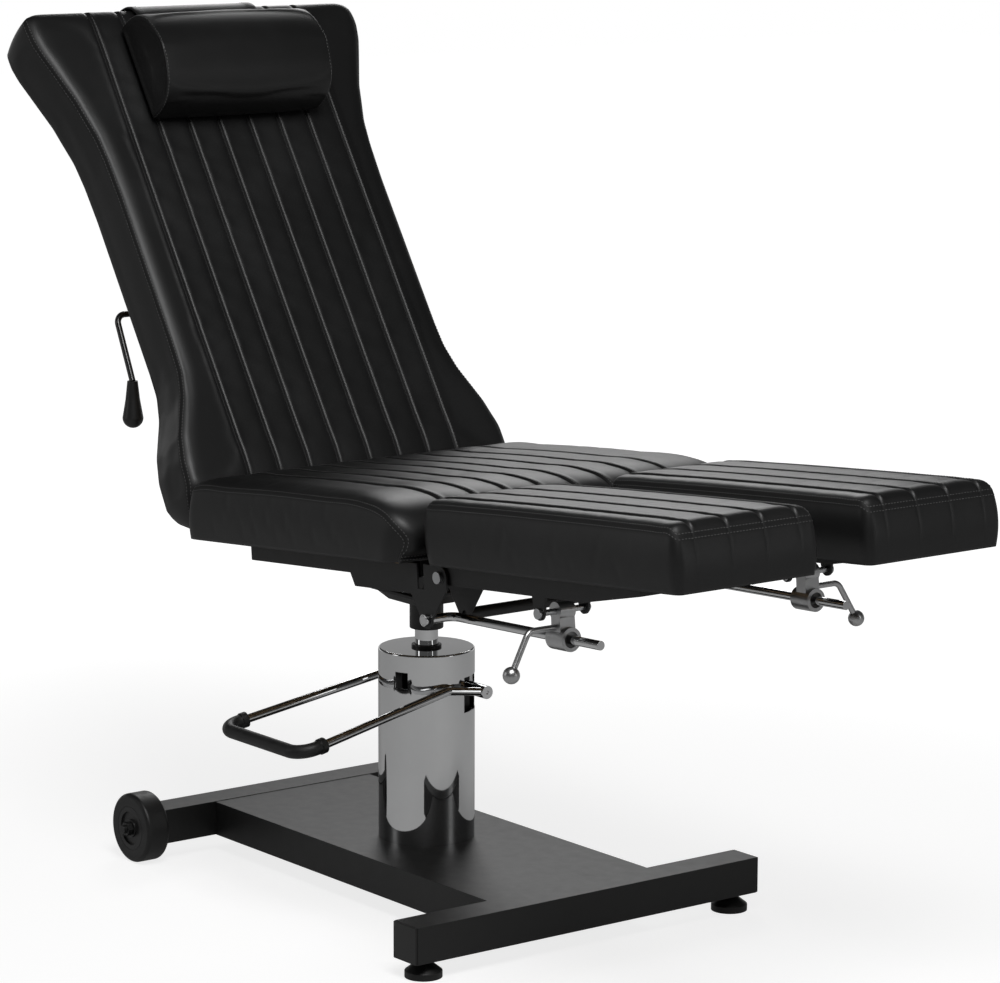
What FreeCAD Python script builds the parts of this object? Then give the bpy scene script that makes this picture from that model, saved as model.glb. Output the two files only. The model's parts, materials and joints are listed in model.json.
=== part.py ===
import FreeCAD, Part
import math
import os

# Hydraulic tattoo chair with a reclining backrest and two folding footrests.
# X runs towards the foot end, -Y is the sitter's right side, +Z is up.
# Lengths are millimetres and angles are degrees. The column axis is at x = y = 0
# while the pieces are made, and the floor is at z = 0.

Vector = FreeCAD.Vector

# Clearances that every piece shares
running_gap = 0.05      # radial gap of a pin or shaft that turns or slides in its hole
side_gap = 0.5          # gap between faces that move past each other
seat_clearance = 0.3    # gap between a moving soft piece and what it rests against
cut_overrun = 1.0       # how far a cutting tool runs past the face it cuts

# Base frame
floor_gap = 25.0
rail_size = 50.0
rail_wall = 2.5
front_rail_length = 585.3
rear_rail_length = 456.0
column_to_front_rail = 323.6
column_to_rear_rail = 330.0
tray_width = 274.2
tray_wall = 3.0
tray_drop = 0.9
cap_flange = 3.0
cap_depth = 14.0
axle_plate = 4.0

# Levelling feet
foot_inset = 30.65
foot_radius = 25.0
foot_disc_height = 9.0
foot_neck_height = 11.0
foot_neck_radius = 11.0
foot_sink = 5.0
stud_radius = 5.0
stud_reach = 34.0
insert_radius = 9.0
insert_height = 10.0

# Wheels
wheel_radius = 50.0
wheel_width = 37.0
wheel_standoff = 3.0
tyre_corner = 6.0
hub_radius = 31.5
hub_dish_radius = 24.0
hub_dish_depth = 3.0
axle_radius = 6.0
axle_collar_radius = 10.0
axle_inner_reach = 12.0
axle_stub = 13.0
wheel_nut_radius = 10.5
wheel_nut_height = 8.0

# Pump and its cover
cover_radius = 67.6
cover_wall = 2.0
crown_over_axle = 55.2
cover_top = 4.0
cover_edge = 2.5
piston_radius = 16.25
cylinder_radius = 26.0
flange_radius = 64.0
flange_thickness = 8.0
flange_bolt_circle = 47.0
flange_bolt_radius = 4.0
flange_bolt_head_radius = 7.5
flange_bolt_head_height = 5.0
flange_nut_height = 6.0
flange_bolt_angles = (0, 180, 240, 300)
seal_radius = 21.0
seal_height = 3.5
slot_width = 42.3
slot_height = 50.0
slot_under_axle = 30.9
notch_width = 20.0
notch_height = 23.0
notch_over_axle = 7.1
notch_bearing = -67.5

# Foot pedal
axle_offset = 38.0
axle_height = 290.0
pedal_axle_radius = 9.25
pedal_axle_half = 91.0
bearing_width = 14.0
bearing_gap = 32.0
bearing_reach = 15.0
screw_head_radius = 5.0
screw_socket_radius = 2.8
screw_recess = 4.0
arm_radius = 6.0
arm_slope = 10.3
arm_lift = 7.0
arm_root = 84.0
arm_waist = 75.5
arm_waist_reach = 56.0
arm_spread = 97.0
arm_reach = 318.0
arm_bend = 30.0
bar_bend = 26.0
grip_radius = 9.5
grip_start = 278.0
cuff_radius = 11.0
cuff_length = 9.0
bearing_rise = 15.0
finger_reach = 18.0
finger_width = 14.0
finger_thickness = 7.0
fork_width = 9.0
plunger_radius = 3.5
plunger_head_radius = 6.5
plunger_head_height = 4.0
plunger_inside = 30.0
barrel_radius = 9.0
barrel_under_axle = 42.9
barrel_bore_depth = 40.0

# Lifting column and the plate on it
piston_foot = 30.0
socket_radius = 23.7
socket_over_cover = 26.8
socket_height = 39.0
plate_half = 70.0
plate_thickness = 4.0
plate_dish = 19.0
plate_dish_half = 38.0
plate_rim = 14.0
plate_rim_height = 430.0
wedge_inner = 44.0
wedge_thickness = 20.0
wedge_lift_share = 0.45

# Seat frame, measured along and square to the seat's underside
seat_tilt = 4.835
seat_over_socket = 104.5
tube_depth = 25.0
tube_width = 25.0
tube_wall = 2.0
frame_half = 243.0
frame_rear = -76.0
frame_front = 285.0
middle_tube = 60.0
front_tube = 255.0
board_thickness = 12.0

# Footrest hinge plates
plate_metal = 3.0
tongue_gap = 2.0
bay_width = 58.0
plate_rear = 162.7
plate_skirt = 41.5
plate_chamfer = 9.0
plate_vee = 297.6
plate_top_gap = 1.0
footrest_pivot_u = 360.9
footrest_pivot_w = -16.0
rod_pivot_u = 329.0
rod_pivot_w = -73.5
footrest_boss = 15.0
rod_boss = 12.0
plate_slot_u = 313.0
plate_slot_width = 14.0
plate_slot_depth = 34.0
hinge_bolt_radius = 5.0
bolt_head_radius = 8.0
bolt_head_height = 5.0
cross_bar_radius = 8.0

# Backrest, measured up its slope and square to its seam plane
open_angle = 61.64
joint_u = -164.8
joint_w = 85.3
hinge_u = -224.0
hinge_w = -14.7
hinge_radius = 8.0
hinge_half = 148.0
arm_half = 126.0
hinge_arm_width = 8.0
hinge_arm_top = 8.0
hinge_arm_bottom = 29.0
hinge_eye = 14.0
bracket_width = 5.0
bracket_eye = 16.0
bracket_length = 70.0
back_thickness = 90.0
back_rail_half = 162.5
back_rail_start = -38.0
back_rail_end = 640.0
back_cross_lower = 330.0
back_cross_upper = 600.0

# Gas spring behind the backrest
anchor_u = -244.2
anchor_w = -42.0
spring_head_s = 290.0
spring_head_d = -131.0
spring_radius = 10.0
spring_wall = 2.0
spring_length = 205.0
spring_gland = 8.0
spring_rod_radius = 4.0
spring_neck = 14.0
spring_rod_inside = 70.0
spring_piston_height = 8.0
spring_eye = 11.0
spring_eye_width = 14.0
spring_head_eye = 13.0
spring_head_bore = 8.2
spring_pin_radius = 4.0
ear_width = 4.0
ear_radius = 11.0

# Recline lever
lever_s = 313.0
lever_d = -125.0
lever_y = -222.0
lever_radius = 4.5
lever_finger = 12.0
lever_finger_width = 6.0
lever_drop = 90.0
lever_lean = 42.0
lever_bend = 14.0
lever_grip_length = 68.0
lever_grip_top = 7.5
lever_grip_waist = 10.4
lever_grip_bottom = 15.0
lever_block_width = 12.0
lever_block_half = 12.0
lever_block_depth = 18.0

# Cushions
piping_drop = 10.0
channel_crown = 8.0
edge_crown_share = 0.12
side_bulge = 5.0
seat_half = 283.0
seat_bottom_half = 279.0
seat_seams = (26.0, 81.0, 135.0, 191.0)
seat_thickness = 88.0
seat_rear_foot = -183.6
seat_rear_top = -162.3
seat_rear_shoulder = -125.0
seat_front_foot = 314.0
seat_front_nose = 326.0
seat_front_brow = 305.0
seat_front_shoulder = 246.0
seat_corner = 22.0
seat_board_inset = 14.0
back_seams = (26.0, 77.5, 129.0, 180.0)
back_foot = -59.3
back_foot_depth = -57.3
back_brow = -14.0
back_brow_depth = -6.2
back_heel = -28.0
back_top = 752.0
back_top_half = 284.0
back_waist_half = 229.0
back_hip_half = 278.0
back_waist_start = 168.0
back_waist_end = 444.0
back_board_half = 212.0
back_board_start = -18.0
back_board_end = 732.0
leg_outer = 262.0
leg_inner = 43.5
leg_seams = (70.0, 125.0, 180.0, 235.0)
leg_thickness = 88.0
leg_rear = 351.0
leg_front = 849.0
leg_corner = 14.0
leg_end_radius = 20.0
leg_board_inset = 14.0

# Head pillow
pillow_half = 143.0
pillow_start = 554.0
pillow_end = 705.0
pillow_depth = 92.0
pillow_end_bulge = 12.0
band_half = 106.0
band_thickness = 3.0
band_tail = 100.0

# Footrest channel, pin, rod and clamp
channel_step = 20.0
channel_depth = 26.0
channel_wall = 3.0
channel_tongue_end = 394.0
channel_start = 346.0
channel_end = 762.0
channel_taper_start = 650.0
channel_nose = 10.0
lug_width = 4.0
lug_radius = 9.0
lug_half_top = 13.5
pin_u = 561.0
pin_w = -46.9
pin_radius = 4.0
pin_head_radius = 7.0
pin_head_height = 4.0
clip_wire = 1.5
rod_inset = 39.0
rod_radius = 6.0
rod_length = 306.0
rod_fall = 11.8
rod_corner = 14.0
rod_cap_radius = 8.0
rod_cap_height = 5.0
clamp_bore = 10.4
clamp_sleeve = 15.5
clamp_length = 34.0
clamp_width = 24.0
clamp_eye = 12.0
handle_rise = 15.0
handle_radius = 4.0
handle_reach = 54.0
handle_out = 84.0
handle_drop = 51.0
ball_radius = 10.9

# Places and directions that follow from the sizes
ACROSS = Vector(0, 1, 0)
UP = Vector(0, 0, 1)
mid_corner_share = 1 - math.sqrt(0.5)
rail_top = floor_gap + rail_size
tray_top = rail_top - tray_drop
flange_top = tray_top + flange_thickness
cover_crown = axle_height + crown_over_axle
socket_bottom = cover_crown + socket_over_cover
socket_top = socket_bottom + socket_height
seat_height = socket_top + seat_over_socket
tilt = math.radians(seat_tilt)
back_lean = open_angle - 90 - seat_tilt
bay_inner = frame_half - bay_width
channel_outer = frame_half - tongue_gap
tongue_inner = bay_inner + tongue_gap
channel_inner = tongue_inner - channel_step
rod_line = frame_half - rod_inset
plate_outer = frame_half + plate_metal


def seat_point(u, w, y=0.0):
    """A point by its place along and above the seat's underside."""
    x = u * math.cos(tilt) - w * math.sin(tilt)
    z = u * math.sin(tilt) + w * math.cos(tilt)
    return Vector(x, y, seat_height + z)


back_up = Vector(math.sin(math.radians(back_lean)), 0, math.cos(math.radians(back_lean)))
back_front = Vector(back_up.z, 0, -back_up.x)
back_origin = seat_point(joint_u, joint_w)


def back_point(s, d, y=0.0):
    """A point by its place up the backrest and in front of its seam plane."""
    return back_origin + back_up * s + back_front * d + ACROSS * y


hinge_centre = seat_point(hinge_u, hinge_w)
hinge_s = (hinge_centre - back_origin).dot(back_up)
hinge_d = (hinge_centre - back_origin).dot(back_front)


def on_seat(shape):
    """Takes a shape drawn flat, with the seat's underside at z = 0, to its place."""
    placed = shape.copy()
    placed.rotate(Vector(), ACROSS, -seat_tilt)
    placed.translate(UP * seat_height)
    return placed


def on_back(shape):
    """Takes a shape drawn upright, facing +X with its seam plane at x = 0, to its place."""
    placed = shape.copy()
    placed.rotate(Vector(), ACROSS, back_lean)
    placed.translate(back_origin)
    return placed


# Simple shapes
def cylinder(radius, start, end):
    return Part.makeCylinder(radius, (end - start).Length, start, end - start)


def ring(outer, inner, start, end):
    return cylinder(outer, start, end).cut(cylinder(inner, start, end))


def along_y(radius, x, z, y0, y1):
    return cylinder(radius, Vector(x, y0, z), Vector(x, y1, z))


def block(x0, x1, y0, y1, z0, z1):
    return Part.makeBox(x1 - x0, y1 - y0, z1 - z0, Vector(x0, y0, z0))


def hexagon(radius, start, end):
    """A six-sided bar from one point to another, by the radius of its corners."""
    axis = end - start
    flat = ACROSS if abs(axis.dot(ACROSS)) < axis.Length / 2 else UP
    first = axis.cross(flat).normalize() * radius
    corners = []
    for turn in range(6):
        corners.append(start + FreeCAD.Rotation(axis, turn * 60).multVec(first))
    return Part.Face(Part.makePolygon(corners + corners[:1])).extrude(axis)


def side_plane(y):
    return lambda x, z: Vector(x, y, z)


def cross_plane(x):
    return lambda y, z: Vector(x, y, z)


def plan_plane(z):
    return lambda x, y: Vector(x, y, z)


def outline(start, steps, plane):
    """A closed wire: a step of one point is a line, and a step of two points is an arc."""
    edges = []
    here = start
    closing = [] if steps[-1][-1] == start else [[start]]
    for step in steps + closing:
        points = [plane(*point) for point in [here] + step]
        maker = Part.LineSegment if len(points) == 2 else Part.Arc
        edges.append(maker(*points).toShape())
        here = step[-1]
    return Part.Wire(edges)


def prism(start, steps, plane, reach):
    return Part.Face(outline(start, steps, plane)).extrude(reach)


def slab(corners, y0, y1):
    """A flat plate between two places across the chair, from its outline seen from the side."""
    steps = [[corner] for corner in corners[1:]]
    return prism(corners[0], steps, side_plane(y0), ACROSS * (y1 - y0))


def bent_bar(points, bends, radius):
    """A round bar along straight runs joined by tangent arcs."""
    edges = []
    start = points[0]
    for before, corner, after, bend in zip(points, points[1:], points[2:], bends):
        back = (before - corner).normalize()
        ahead = (after - corner).normalize()
        half = back.getAngle(ahead) / 2
        first = corner + back * (bend / math.tan(half))
        last = corner + ahead * (bend / math.tan(half))
        middle = corner + (back + ahead).normalize() * (bend / math.sin(half) - bend)
        edges.append(Part.LineSegment(start, first).toShape())
        edges.append(Part.Arc(first, middle, last).toShape())
        start = last
    edges.append(Part.LineSegment(start, points[-1]).toShape())
    ring_wire = Part.Wire(Part.makeCircle(radius, points[0], points[1] - points[0]))
    return Part.Wire(edges).makePipeShell([ring_wire], True, False)


def square_tube(x0, x1, y0, y1, z0, z1, wall, along):
    """A square tube, open at the two ends that face along x or y."""
    outer = block(x0, x1, y0, y1, z0, z1)
    in_x, in_y = (0, wall) if along == "x" else (wall, 0)
    inner = block(x0 + in_x, x1 - in_x, y0 + in_y, y1 - in_y, z0 + wall, z1 - wall)
    return outer.cut(inner)


def rounded_plan(x0, x1, y0, y1, rear, front):
    """A rectangle seen from above with its rear and front corners rounded."""
    steps = [
        [(x1 - front, y0)],
        [(x1 - front * mid_corner_share, y0 + front * mid_corner_share), (x1, y0 + front)],
        [(x1, y1 - front)],
        [(x1 - front * mid_corner_share, y1 - front * mid_corner_share), (x1 - front, y1)],
        [(x0 + rear, y1)],
        [(x0 + rear * mid_corner_share, y1 - rear * mid_corner_share), (x0, y1 - rear)],
        [(x0, y0 + rear)],
        [(x0 + rear * mid_corner_share, y0 + rear * mid_corner_share), (x0 + rear, y0)],
    ]
    return (x0 + rear, y0), steps


def channels(places, level):
    """Arcs over the sewn channels, from one seam to the next."""
    steps = []
    for near, far in zip(places, places[1:]):
        steps.append([((near + far) / 2, level + channel_crown), (far, level)])
    return steps


def edge_arc(start, end):
    """The arc over the padding between the outermost seam and the piping."""
    crown = abs(start[0] - end[0]) * edge_crown_share
    return [((start[0] + end[0]) / 2, (start[1] + end[1]) / 2 + crown), end]


def pair(shape):
    """The sitter's left piece as drawn at +Y, and the right piece as its mirror image."""
    return {"left": shape, "right": shape.mirror(Vector(), ACROSS)}


parts = {}


# Base frame
def rail(length, x0):
    half = length / 2
    return square_tube(x0, x0 + rail_size, -half, half, floor_gap, rail_top, rail_wall, "y")


foot_x = column_to_front_rail + rail_size / 2
foot_y = front_rail_length / 2 - foot_inset
wheel_x = -column_to_rear_rail - rail_size / 2

front_rail = rail(front_rail_length - 2 * cap_flange, column_to_front_rail)
for side in (-1, 1):
    below = Vector(foot_x, side * foot_y, floor_gap)
    insert_foot = below + UP * rail_wall
    insert = cylinder(insert_radius, insert_foot, insert_foot + UP * insert_height)
    hole = cylinder(stud_radius + running_gap, below - UP * cut_overrun,
                    insert_foot + UP * (insert_height + cut_overrun))
    front_rail = front_rail.fuse(insert).cut(hole)
parts["front_rail"] = front_rail

rear_rail = rail(rear_rail_length - 2 * axle_plate, -column_to_rear_rail - rail_size)
rear_half = rear_rail_length / 2
for side in (-1, 1):
    y0, y1 = sorted((side * (rear_half - axle_plate), side * rear_half))
    end = block(-column_to_rear_rail - rail_size, -column_to_rear_rail, y0, y1, floor_gap, rail_top)
    hole = along_y(axle_radius, wheel_x, wheel_radius, y0 - cut_overrun, y1 + cut_overrun)
    rear_rail = rear_rail.fuse(end.cut(hole))
parts["rear_rail"] = rear_rail

tray = block(-column_to_rear_rail, column_to_front_rail, -tray_width / 2, tray_width / 2, floor_gap, tray_top)
hollow_half = tray_width / 2 - tray_wall
tray = tray.cut(block(-column_to_rear_rail - cut_overrun, column_to_front_rail + cut_overrun,
                      -hollow_half, hollow_half, floor_gap - cut_overrun, tray_top - tray_wall))
bolt_places = []
for angle in flange_bolt_angles:
    turn = math.radians(angle)
    bolt_places.append(Vector(math.cos(turn), math.sin(turn), 0) * flange_bolt_circle)
for place in bolt_places:
    tray = tray.cut(cylinder(flange_bolt_radius, place + UP * floor_gap, place + UP * rail_top))
parts["base_tray"] = tray

caps = []
for side in (-1, 1):
    outer = side * front_rail_length / 2
    seat = outer - side * cap_flange
    inner = seat - side * cap_depth
    x0, x1 = column_to_front_rail, column_to_front_rail + rail_size
    cover = block(x0, x1, min(seat, outer), max(seat, outer), floor_gap, rail_top)
    plug = block(x0 + rail_wall, x1 - rail_wall, min(seat, inner), max(seat, inner),
                 floor_gap + rail_wall, rail_top - rail_wall)
    caps.append(cover.fuse(plug))
parts["rail_caps"] = Part.makeCompound(caps)

# Wheels on their axles
wheel_start = rear_half + wheel_standoff
wheel_end = wheel_start + wheel_width
nut_foot = wheel_end + seat_clearance
axle_inner_end = rear_half - axle_plate - axle_inner_reach
axle = along_y(axle_radius, wheel_x, wheel_radius, axle_inner_end, wheel_end + axle_stub)
axle = axle.fuse(along_y(axle_collar_radius, wheel_x, wheel_radius, rear_half, wheel_start - seat_clearance))
wheel_nut = hexagon(wheel_nut_radius, Vector(wheel_x, nut_foot, wheel_radius),
                    Vector(wheel_x, nut_foot + wheel_nut_height, wheel_radius))
wheel_nut = wheel_nut.cut(along_y(axle_radius, wheel_x, wheel_radius, wheel_start, wheel_end + axle_stub))
parts["wheel_axles"] = Part.makeCompound(list(pair(axle).values()) + list(pair(wheel_nut).values()))

wheel_centre = Vector(wheel_x, 0, wheel_radius)
tyre = along_y(wheel_radius, wheel_x, wheel_radius, wheel_start, wheel_end)
tyre = tyre.makeFillet(tyre_corner, [edge for edge in tyre.Edges if edge.Curve.TypeId == "Part::GeomCircle"])
tyre = tyre.cut(along_y(hub_radius, wheel_x, wheel_radius,
                        wheel_start - cut_overrun, wheel_end + cut_overrun))
hub = along_y(hub_radius, wheel_x, wheel_radius, wheel_start, wheel_end)
dish = ring(hub_dish_radius, axle_collar_radius + hub_dish_depth,
            wheel_centre + ACROSS * (wheel_end - hub_dish_depth),
            wheel_centre + ACROSS * (wheel_end + cut_overrun))
hub = hub.cut(dish)
hub = hub.cut(along_y(axle_radius + running_gap, wheel_x, wheel_radius,
                      wheel_start - cut_overrun, wheel_end + cut_overrun))
for name, shape in pair(tyre).items():
    parts["wheel_tyre_" + name] = shape
for name, shape in pair(hub).items():
    parts["wheel_hub_" + name] = shape

# Levelling feet
foot_place = Vector(foot_x, foot_y, 0)
foot_cone_top = foot_disc_height + foot_neck_height
foot_cone_place = foot_place + UP * foot_disc_height
pad = cylinder(foot_radius, foot_place, foot_place + UP * foot_disc_height)
pad = pad.fuse(Part.makeCone(foot_radius, foot_neck_radius, foot_neck_height, foot_cone_place, UP))
pad = pad.cut(cylinder(stud_radius, foot_place + UP * foot_sink,
                       foot_place + UP * (foot_cone_top + cut_overrun)))
stud = cylinder(stud_radius, foot_place + UP * foot_sink, foot_place + UP * (floor_gap + stud_reach))
for name, shape in pair(pad).items():
    parts["foot_pad_" + name] = shape
for name, shape in pair(stud).items():
    parts["foot_stud_" + name] = shape

# Pump, bolted to the tray under a bright cover
cover = cylinder(cover_radius, UP * tray_top, UP * cover_crown)
top_edges = [edge for edge in cover.Edges
             if edge.Curve.TypeId == "Part::GeomCircle" and edge.CenterOfMass.z > tray_top + cover_top]
cover = cover.makeFillet(cover_edge, top_edges)
cover = cover.cut(cylinder(cover_radius - cover_wall, UP * (tray_top - cut_overrun),
                           UP * (cover_crown - cover_top)))
cover = cover.cut(cylinder(seal_radius, UP * (cover_crown - cover_top - cut_overrun),
                           UP * (cover_crown + cut_overrun)))
slot_low = axle_height - slot_under_axle
notch_low = axle_height + notch_over_axle
cover = cover.cut(block(-cover_radius - cut_overrun, cover_radius + cut_overrun,
                        axle_offset - slot_width / 2, axle_offset + slot_width / 2,
                        slot_low, slot_low + slot_height))
notch = block(cover_radius / 2, cover_radius + cut_overrun, -notch_width / 2, notch_width / 2,
              notch_low, notch_low + notch_height)
notch.rotate(Vector(), UP, notch_bearing)
parts["pump_cover"] = cover.cut(notch)

seal = ring(seal_radius, piston_radius + running_gap, UP * (cover_crown - cover_top),
            UP * (cover_crown + seal_height))
parts["column_seal"] = seal

plunger_y = axle_offset + finger_reach
barrel_foot = Vector(0, plunger_y, flange_top)
barrel_top = Vector(0, plunger_y, axle_height - barrel_under_axle)
pump = cylinder(flange_radius, UP * tray_top, UP * flange_top)
pump = pump.fuse(cylinder(cylinder_radius, UP * flange_top, UP * (cover_crown - cover_top)))
pump = pump.fuse(cylinder(barrel_radius, barrel_foot - UP * flange_thickness / 2, barrel_top))
pump = pump.cut(cylinder(piston_radius + running_gap, UP * (flange_top + piston_foot / 2), UP * cover_crown))
pump = pump.cut(cylinder(plunger_radius + running_gap, barrel_top - UP * barrel_bore_depth,
                         barrel_top + UP * cut_overrun))
for place in bolt_places:
    pump = pump.cut(cylinder(flange_bolt_radius, place + UP * floor_gap,
                             place + UP * (flange_top + cut_overrun)))
parts["pump_cylinder"] = pump

bolts = []
for place in bolt_places:
    nut_top = tray_top - tray_wall
    shank = cylinder(flange_bolt_radius, place + UP * (nut_top - flange_nut_height), place + UP * flange_top)
    head = hexagon(flange_bolt_head_radius, place + UP * flange_top,
                   place + UP * (flange_top + flange_bolt_head_height))
    nut = hexagon(flange_bolt_head_radius, place + UP * (nut_top - flange_nut_height), place + UP * nut_top)
    bolts.append(shank.fuse(head))
    bolts.append(nut.cut(shank))
parts["flange_bolts"] = Part.makeCompound(bolts)

bearings = []
for side in (-1, 1):
    x0, x1 = sorted((side * bearing_gap / 2, side * (bearing_gap / 2 + bearing_width)))
    post = block(x0, x1, axle_offset - bearing_reach, axle_offset + bearing_reach,
                 flange_top, axle_height + bearing_rise)
    hole = cylinder(pedal_axle_radius + running_gap, Vector(x0 - cut_overrun, axle_offset, axle_height),
                    Vector(x1 + cut_overrun, axle_offset, axle_height))
    bearings.append(post.cut(hole))
parts["pedal_bearings"] = Part.makeCompound(bearings)

# Foot pedal and the plunger that it lifts
def pedal_point(side, x, reach, lift):
    return Vector(side * x, axle_offset - reach, axle_height + lift)


arm_fall = math.tan(math.radians(arm_slope))
waist = [pedal_point(side, arm_waist, arm_waist_reach, arm_lift) for side in (1, -1)]
corner_lift = arm_lift - (arm_reach - arm_waist_reach) * arm_fall
corners = [pedal_point(side, arm_spread, arm_reach, corner_lift) for side in (1, -1)]
roots = [pedal_point(side, arm_root, 0, 0) for side in (1, -1)]
pedal_axle = cylinder(pedal_axle_radius, Vector(-pedal_axle_half, axle_offset, axle_height),
                      Vector(pedal_axle_half, axle_offset, axle_height))
finger = block(-finger_width / 2, finger_width / 2, axle_offset, plunger_y,
               axle_height - finger_thickness / 2, axle_height + finger_thickness / 2)
fork = block(-fork_width / 2, fork_width / 2, plunger_y - fork_width / 2, plunger_y + cut_overrun,
             axle_height - finger_thickness, axle_height + finger_thickness)
pedal_axle = pedal_axle.fuse(finger.cut(fork))
loop = bent_bar([roots[0], waist[0], corners[0], corners[1], waist[1], roots[1]],
                [arm_bend, bar_bend, bar_bend, arm_bend], arm_radius)
loop = loop.cut(pedal_axle)
screws = []
for side in (-1, 1):
    end = Vector(side * pedal_axle_half, axle_offset, axle_height)
    inward = Vector(-side, 0, 0)
    head = cylinder(screw_head_radius, end, end + inward * screw_recess)
    pedal_axle = pedal_axle.cut(head)
    screws.append(head.cut(hexagon(screw_socket_radius, end, end + inward * screw_recess / 2)))
parts["pedal_axle"] = Part.makeCompound([pedal_axle] + screws)
parts["pedal_loop"] = loop

grip_share = (grip_start - arm_waist_reach) / (arm_reach - arm_waist_reach)
grip_ends = [near + (far - near) * grip_share for near, far in zip(waist, corners)]
grip = bent_bar([grip_ends[0], corners[0], corners[1], grip_ends[1]], [bar_bend, bar_bend], grip_radius)
for end, corner in zip(grip_ends, corners):
    along = (corner - end).normalize() * cuff_length
    grip = grip.fuse(cylinder(cuff_radius, end, end + along))
core = bent_bar([waist[0], corners[0], corners[1], waist[1]], [bar_bend, bar_bend], arm_radius)
parts["pedal_grip"] = grip.cut(core)

plunger_foot = barrel_top - UP * plunger_inside
head_foot = Vector(0, plunger_y, axle_height + finger_thickness / 2 + seat_clearance)
plunger = cylinder(plunger_radius, plunger_foot, head_foot)
plunger_head = cylinder(plunger_head_radius, head_foot, head_foot + UP * plunger_head_height)
parts["pump_plunger"] = plunger.fuse(plunger_head)

# Lifting column
parts["piston"] = cylinder(piston_radius, UP * (flange_top + piston_foot), UP * (socket_top - seat_clearance))
parts["seat_socket"] = ring(socket_radius, piston_radius + running_gap, UP * socket_bottom, UP * socket_top)


def square_wire(half, z):
    corners = [Vector(half, half, z), Vector(-half, half, z), Vector(-half, -half, z), Vector(half, -half, z)]
    return Part.makePolygon(corners + corners[:1])


def dish(rise):
    rim = square_wire(plate_half - plate_rim, plate_rim_height + rise)
    floor = square_wire(plate_dish_half, plate_rim_height - plate_dish + rise)
    return Part.makeLoft([floor, rim], True, True)


rim_top = plate_rim_height + plate_thickness
opening_half = plate_half - plate_rim
plate = block(-plate_half, plate_half, -plate_half, plate_half, plate_rim_height, rim_top)
plate = plate.cut(block(-opening_half, opening_half, -opening_half, opening_half, plate_rim_height, rim_top))
throat = block(-opening_half, opening_half, -opening_half, opening_half, plate_rim_height, rim_top)
plate = plate.fuse(dish(0).fuse(throat).cut(dish(plate_thickness)))
wedges = []
wedge_end_rear = seat_point(frame_rear, -tube_depth)
wedge_end_front = seat_point(middle_tube + tube_width, -tube_depth)
for side in (-1, 1):
    y0, y1 = sorted((side * wedge_inner, side * (wedge_inner + wedge_thickness)))
    profile = [(-plate_half, rim_top), (plate_half, rim_top),
               (wedge_end_front.x, rim_top + (wedge_end_front.z - rim_top) * wedge_lift_share),
               (wedge_end_front.x, wedge_end_front.z), (wedge_end_rear.x, wedge_end_rear.z),
               (wedge_end_rear.x, rim_top + (wedge_end_rear.z - rim_top) * wedge_lift_share)]
    wedges.append(slab(profile, y0, y1))
parts["mount_plate"] = Part.makeCompound([plate] + wedges)

# Seat frame under the cushion
cross_half = frame_half - tube_width
side_tube = square_tube(frame_rear, frame_front, cross_half, frame_half, -tube_depth, 0, tube_wall, "x")
parts["seat_side_tubes"] = on_seat(Part.makeCompound(list(pair(side_tube).values())))
cross_tubes = []
for u in (frame_rear, middle_tube, front_tube):
    cross_tubes.append(square_tube(u, u + tube_width, -cross_half, cross_half,
                                   -tube_depth, 0, tube_wall, "y"))
parts["seat_cross_tubes"] = on_seat(Part.makeCompound(cross_tubes))

arm_inner = arm_half - hinge_arm_width
hinge_arm = block(hinge_u, frame_rear, arm_inner, arm_half, -hinge_arm_bottom, -hinge_arm_top)
hinge_arm = hinge_arm.fuse(along_y(hinge_eye, hinge_u, hinge_w, arm_inner, arm_half))
hinge_arm = hinge_arm.cut(along_y(hinge_radius + running_gap, hinge_u, hinge_w,
                                  arm_inner - cut_overrun, arm_half + cut_overrun))
ear_inner = spring_eye_width / 2 + 2 * side_gap
ear_outer = ear_inner + ear_width
tube_end = frame_rear + tube_width
anchor_ear = slab([(anchor_u, anchor_w + ear_radius), (frame_rear, -tube_depth), (tube_end, -tube_depth),
                   (tube_end, anchor_w - ear_radius), (anchor_u, anchor_w - ear_radius)],
                  ear_inner, ear_outer)
anchor_ear = anchor_ear.fuse(along_y(ear_radius, anchor_u, anchor_w, ear_inner, ear_outer))
anchor_ear = anchor_ear.cut(along_y(spring_pin_radius, anchor_u, anchor_w, 0, ear_outer + cut_overrun))
anchor_pin = along_y(spring_pin_radius, anchor_u, anchor_w, -ear_outer, ear_outer)
arms = list(pair(hinge_arm).values()) + list(pair(anchor_ear).values()) + [anchor_pin]
parts["hinge_arms"] = on_seat(Part.makeCompound(arms))


def hinge_plate(rear, y0, y1, rod_hole):
    """The V-shaped plate that holds the footrest hinge above the rod pivot."""
    top = -plate_top_gap
    corners = [(rear, top), (rear, -tube_depth),
               (rear + plate_chamfer, -plate_skirt), (plate_vee, -plate_skirt),
               (rod_pivot_u - rod_boss, rod_pivot_w), (rod_pivot_u + rod_boss, rod_pivot_w),
               (footrest_pivot_u + footrest_boss, footrest_pivot_w - footrest_boss),
               (footrest_pivot_u + footrest_boss, footrest_pivot_w), (footrest_pivot_u, top)]
    shape = slab(corners, y0, y1)
    shape = shape.fuse(along_y(rod_boss, rod_pivot_u, rod_pivot_w, y0, y1))
    shape = shape.fuse(along_y(footrest_boss, footrest_pivot_u, footrest_pivot_w, y0, y1))
    shape = shape.cut(along_y(rod_hole, rod_pivot_u, rod_pivot_w, y0 - cut_overrun, y1 + cut_overrun))
    return shape.cut(along_y(hinge_bolt_radius, footrest_pivot_u, footrest_pivot_w,
                             y0 - cut_overrun, y1 + cut_overrun))


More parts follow.
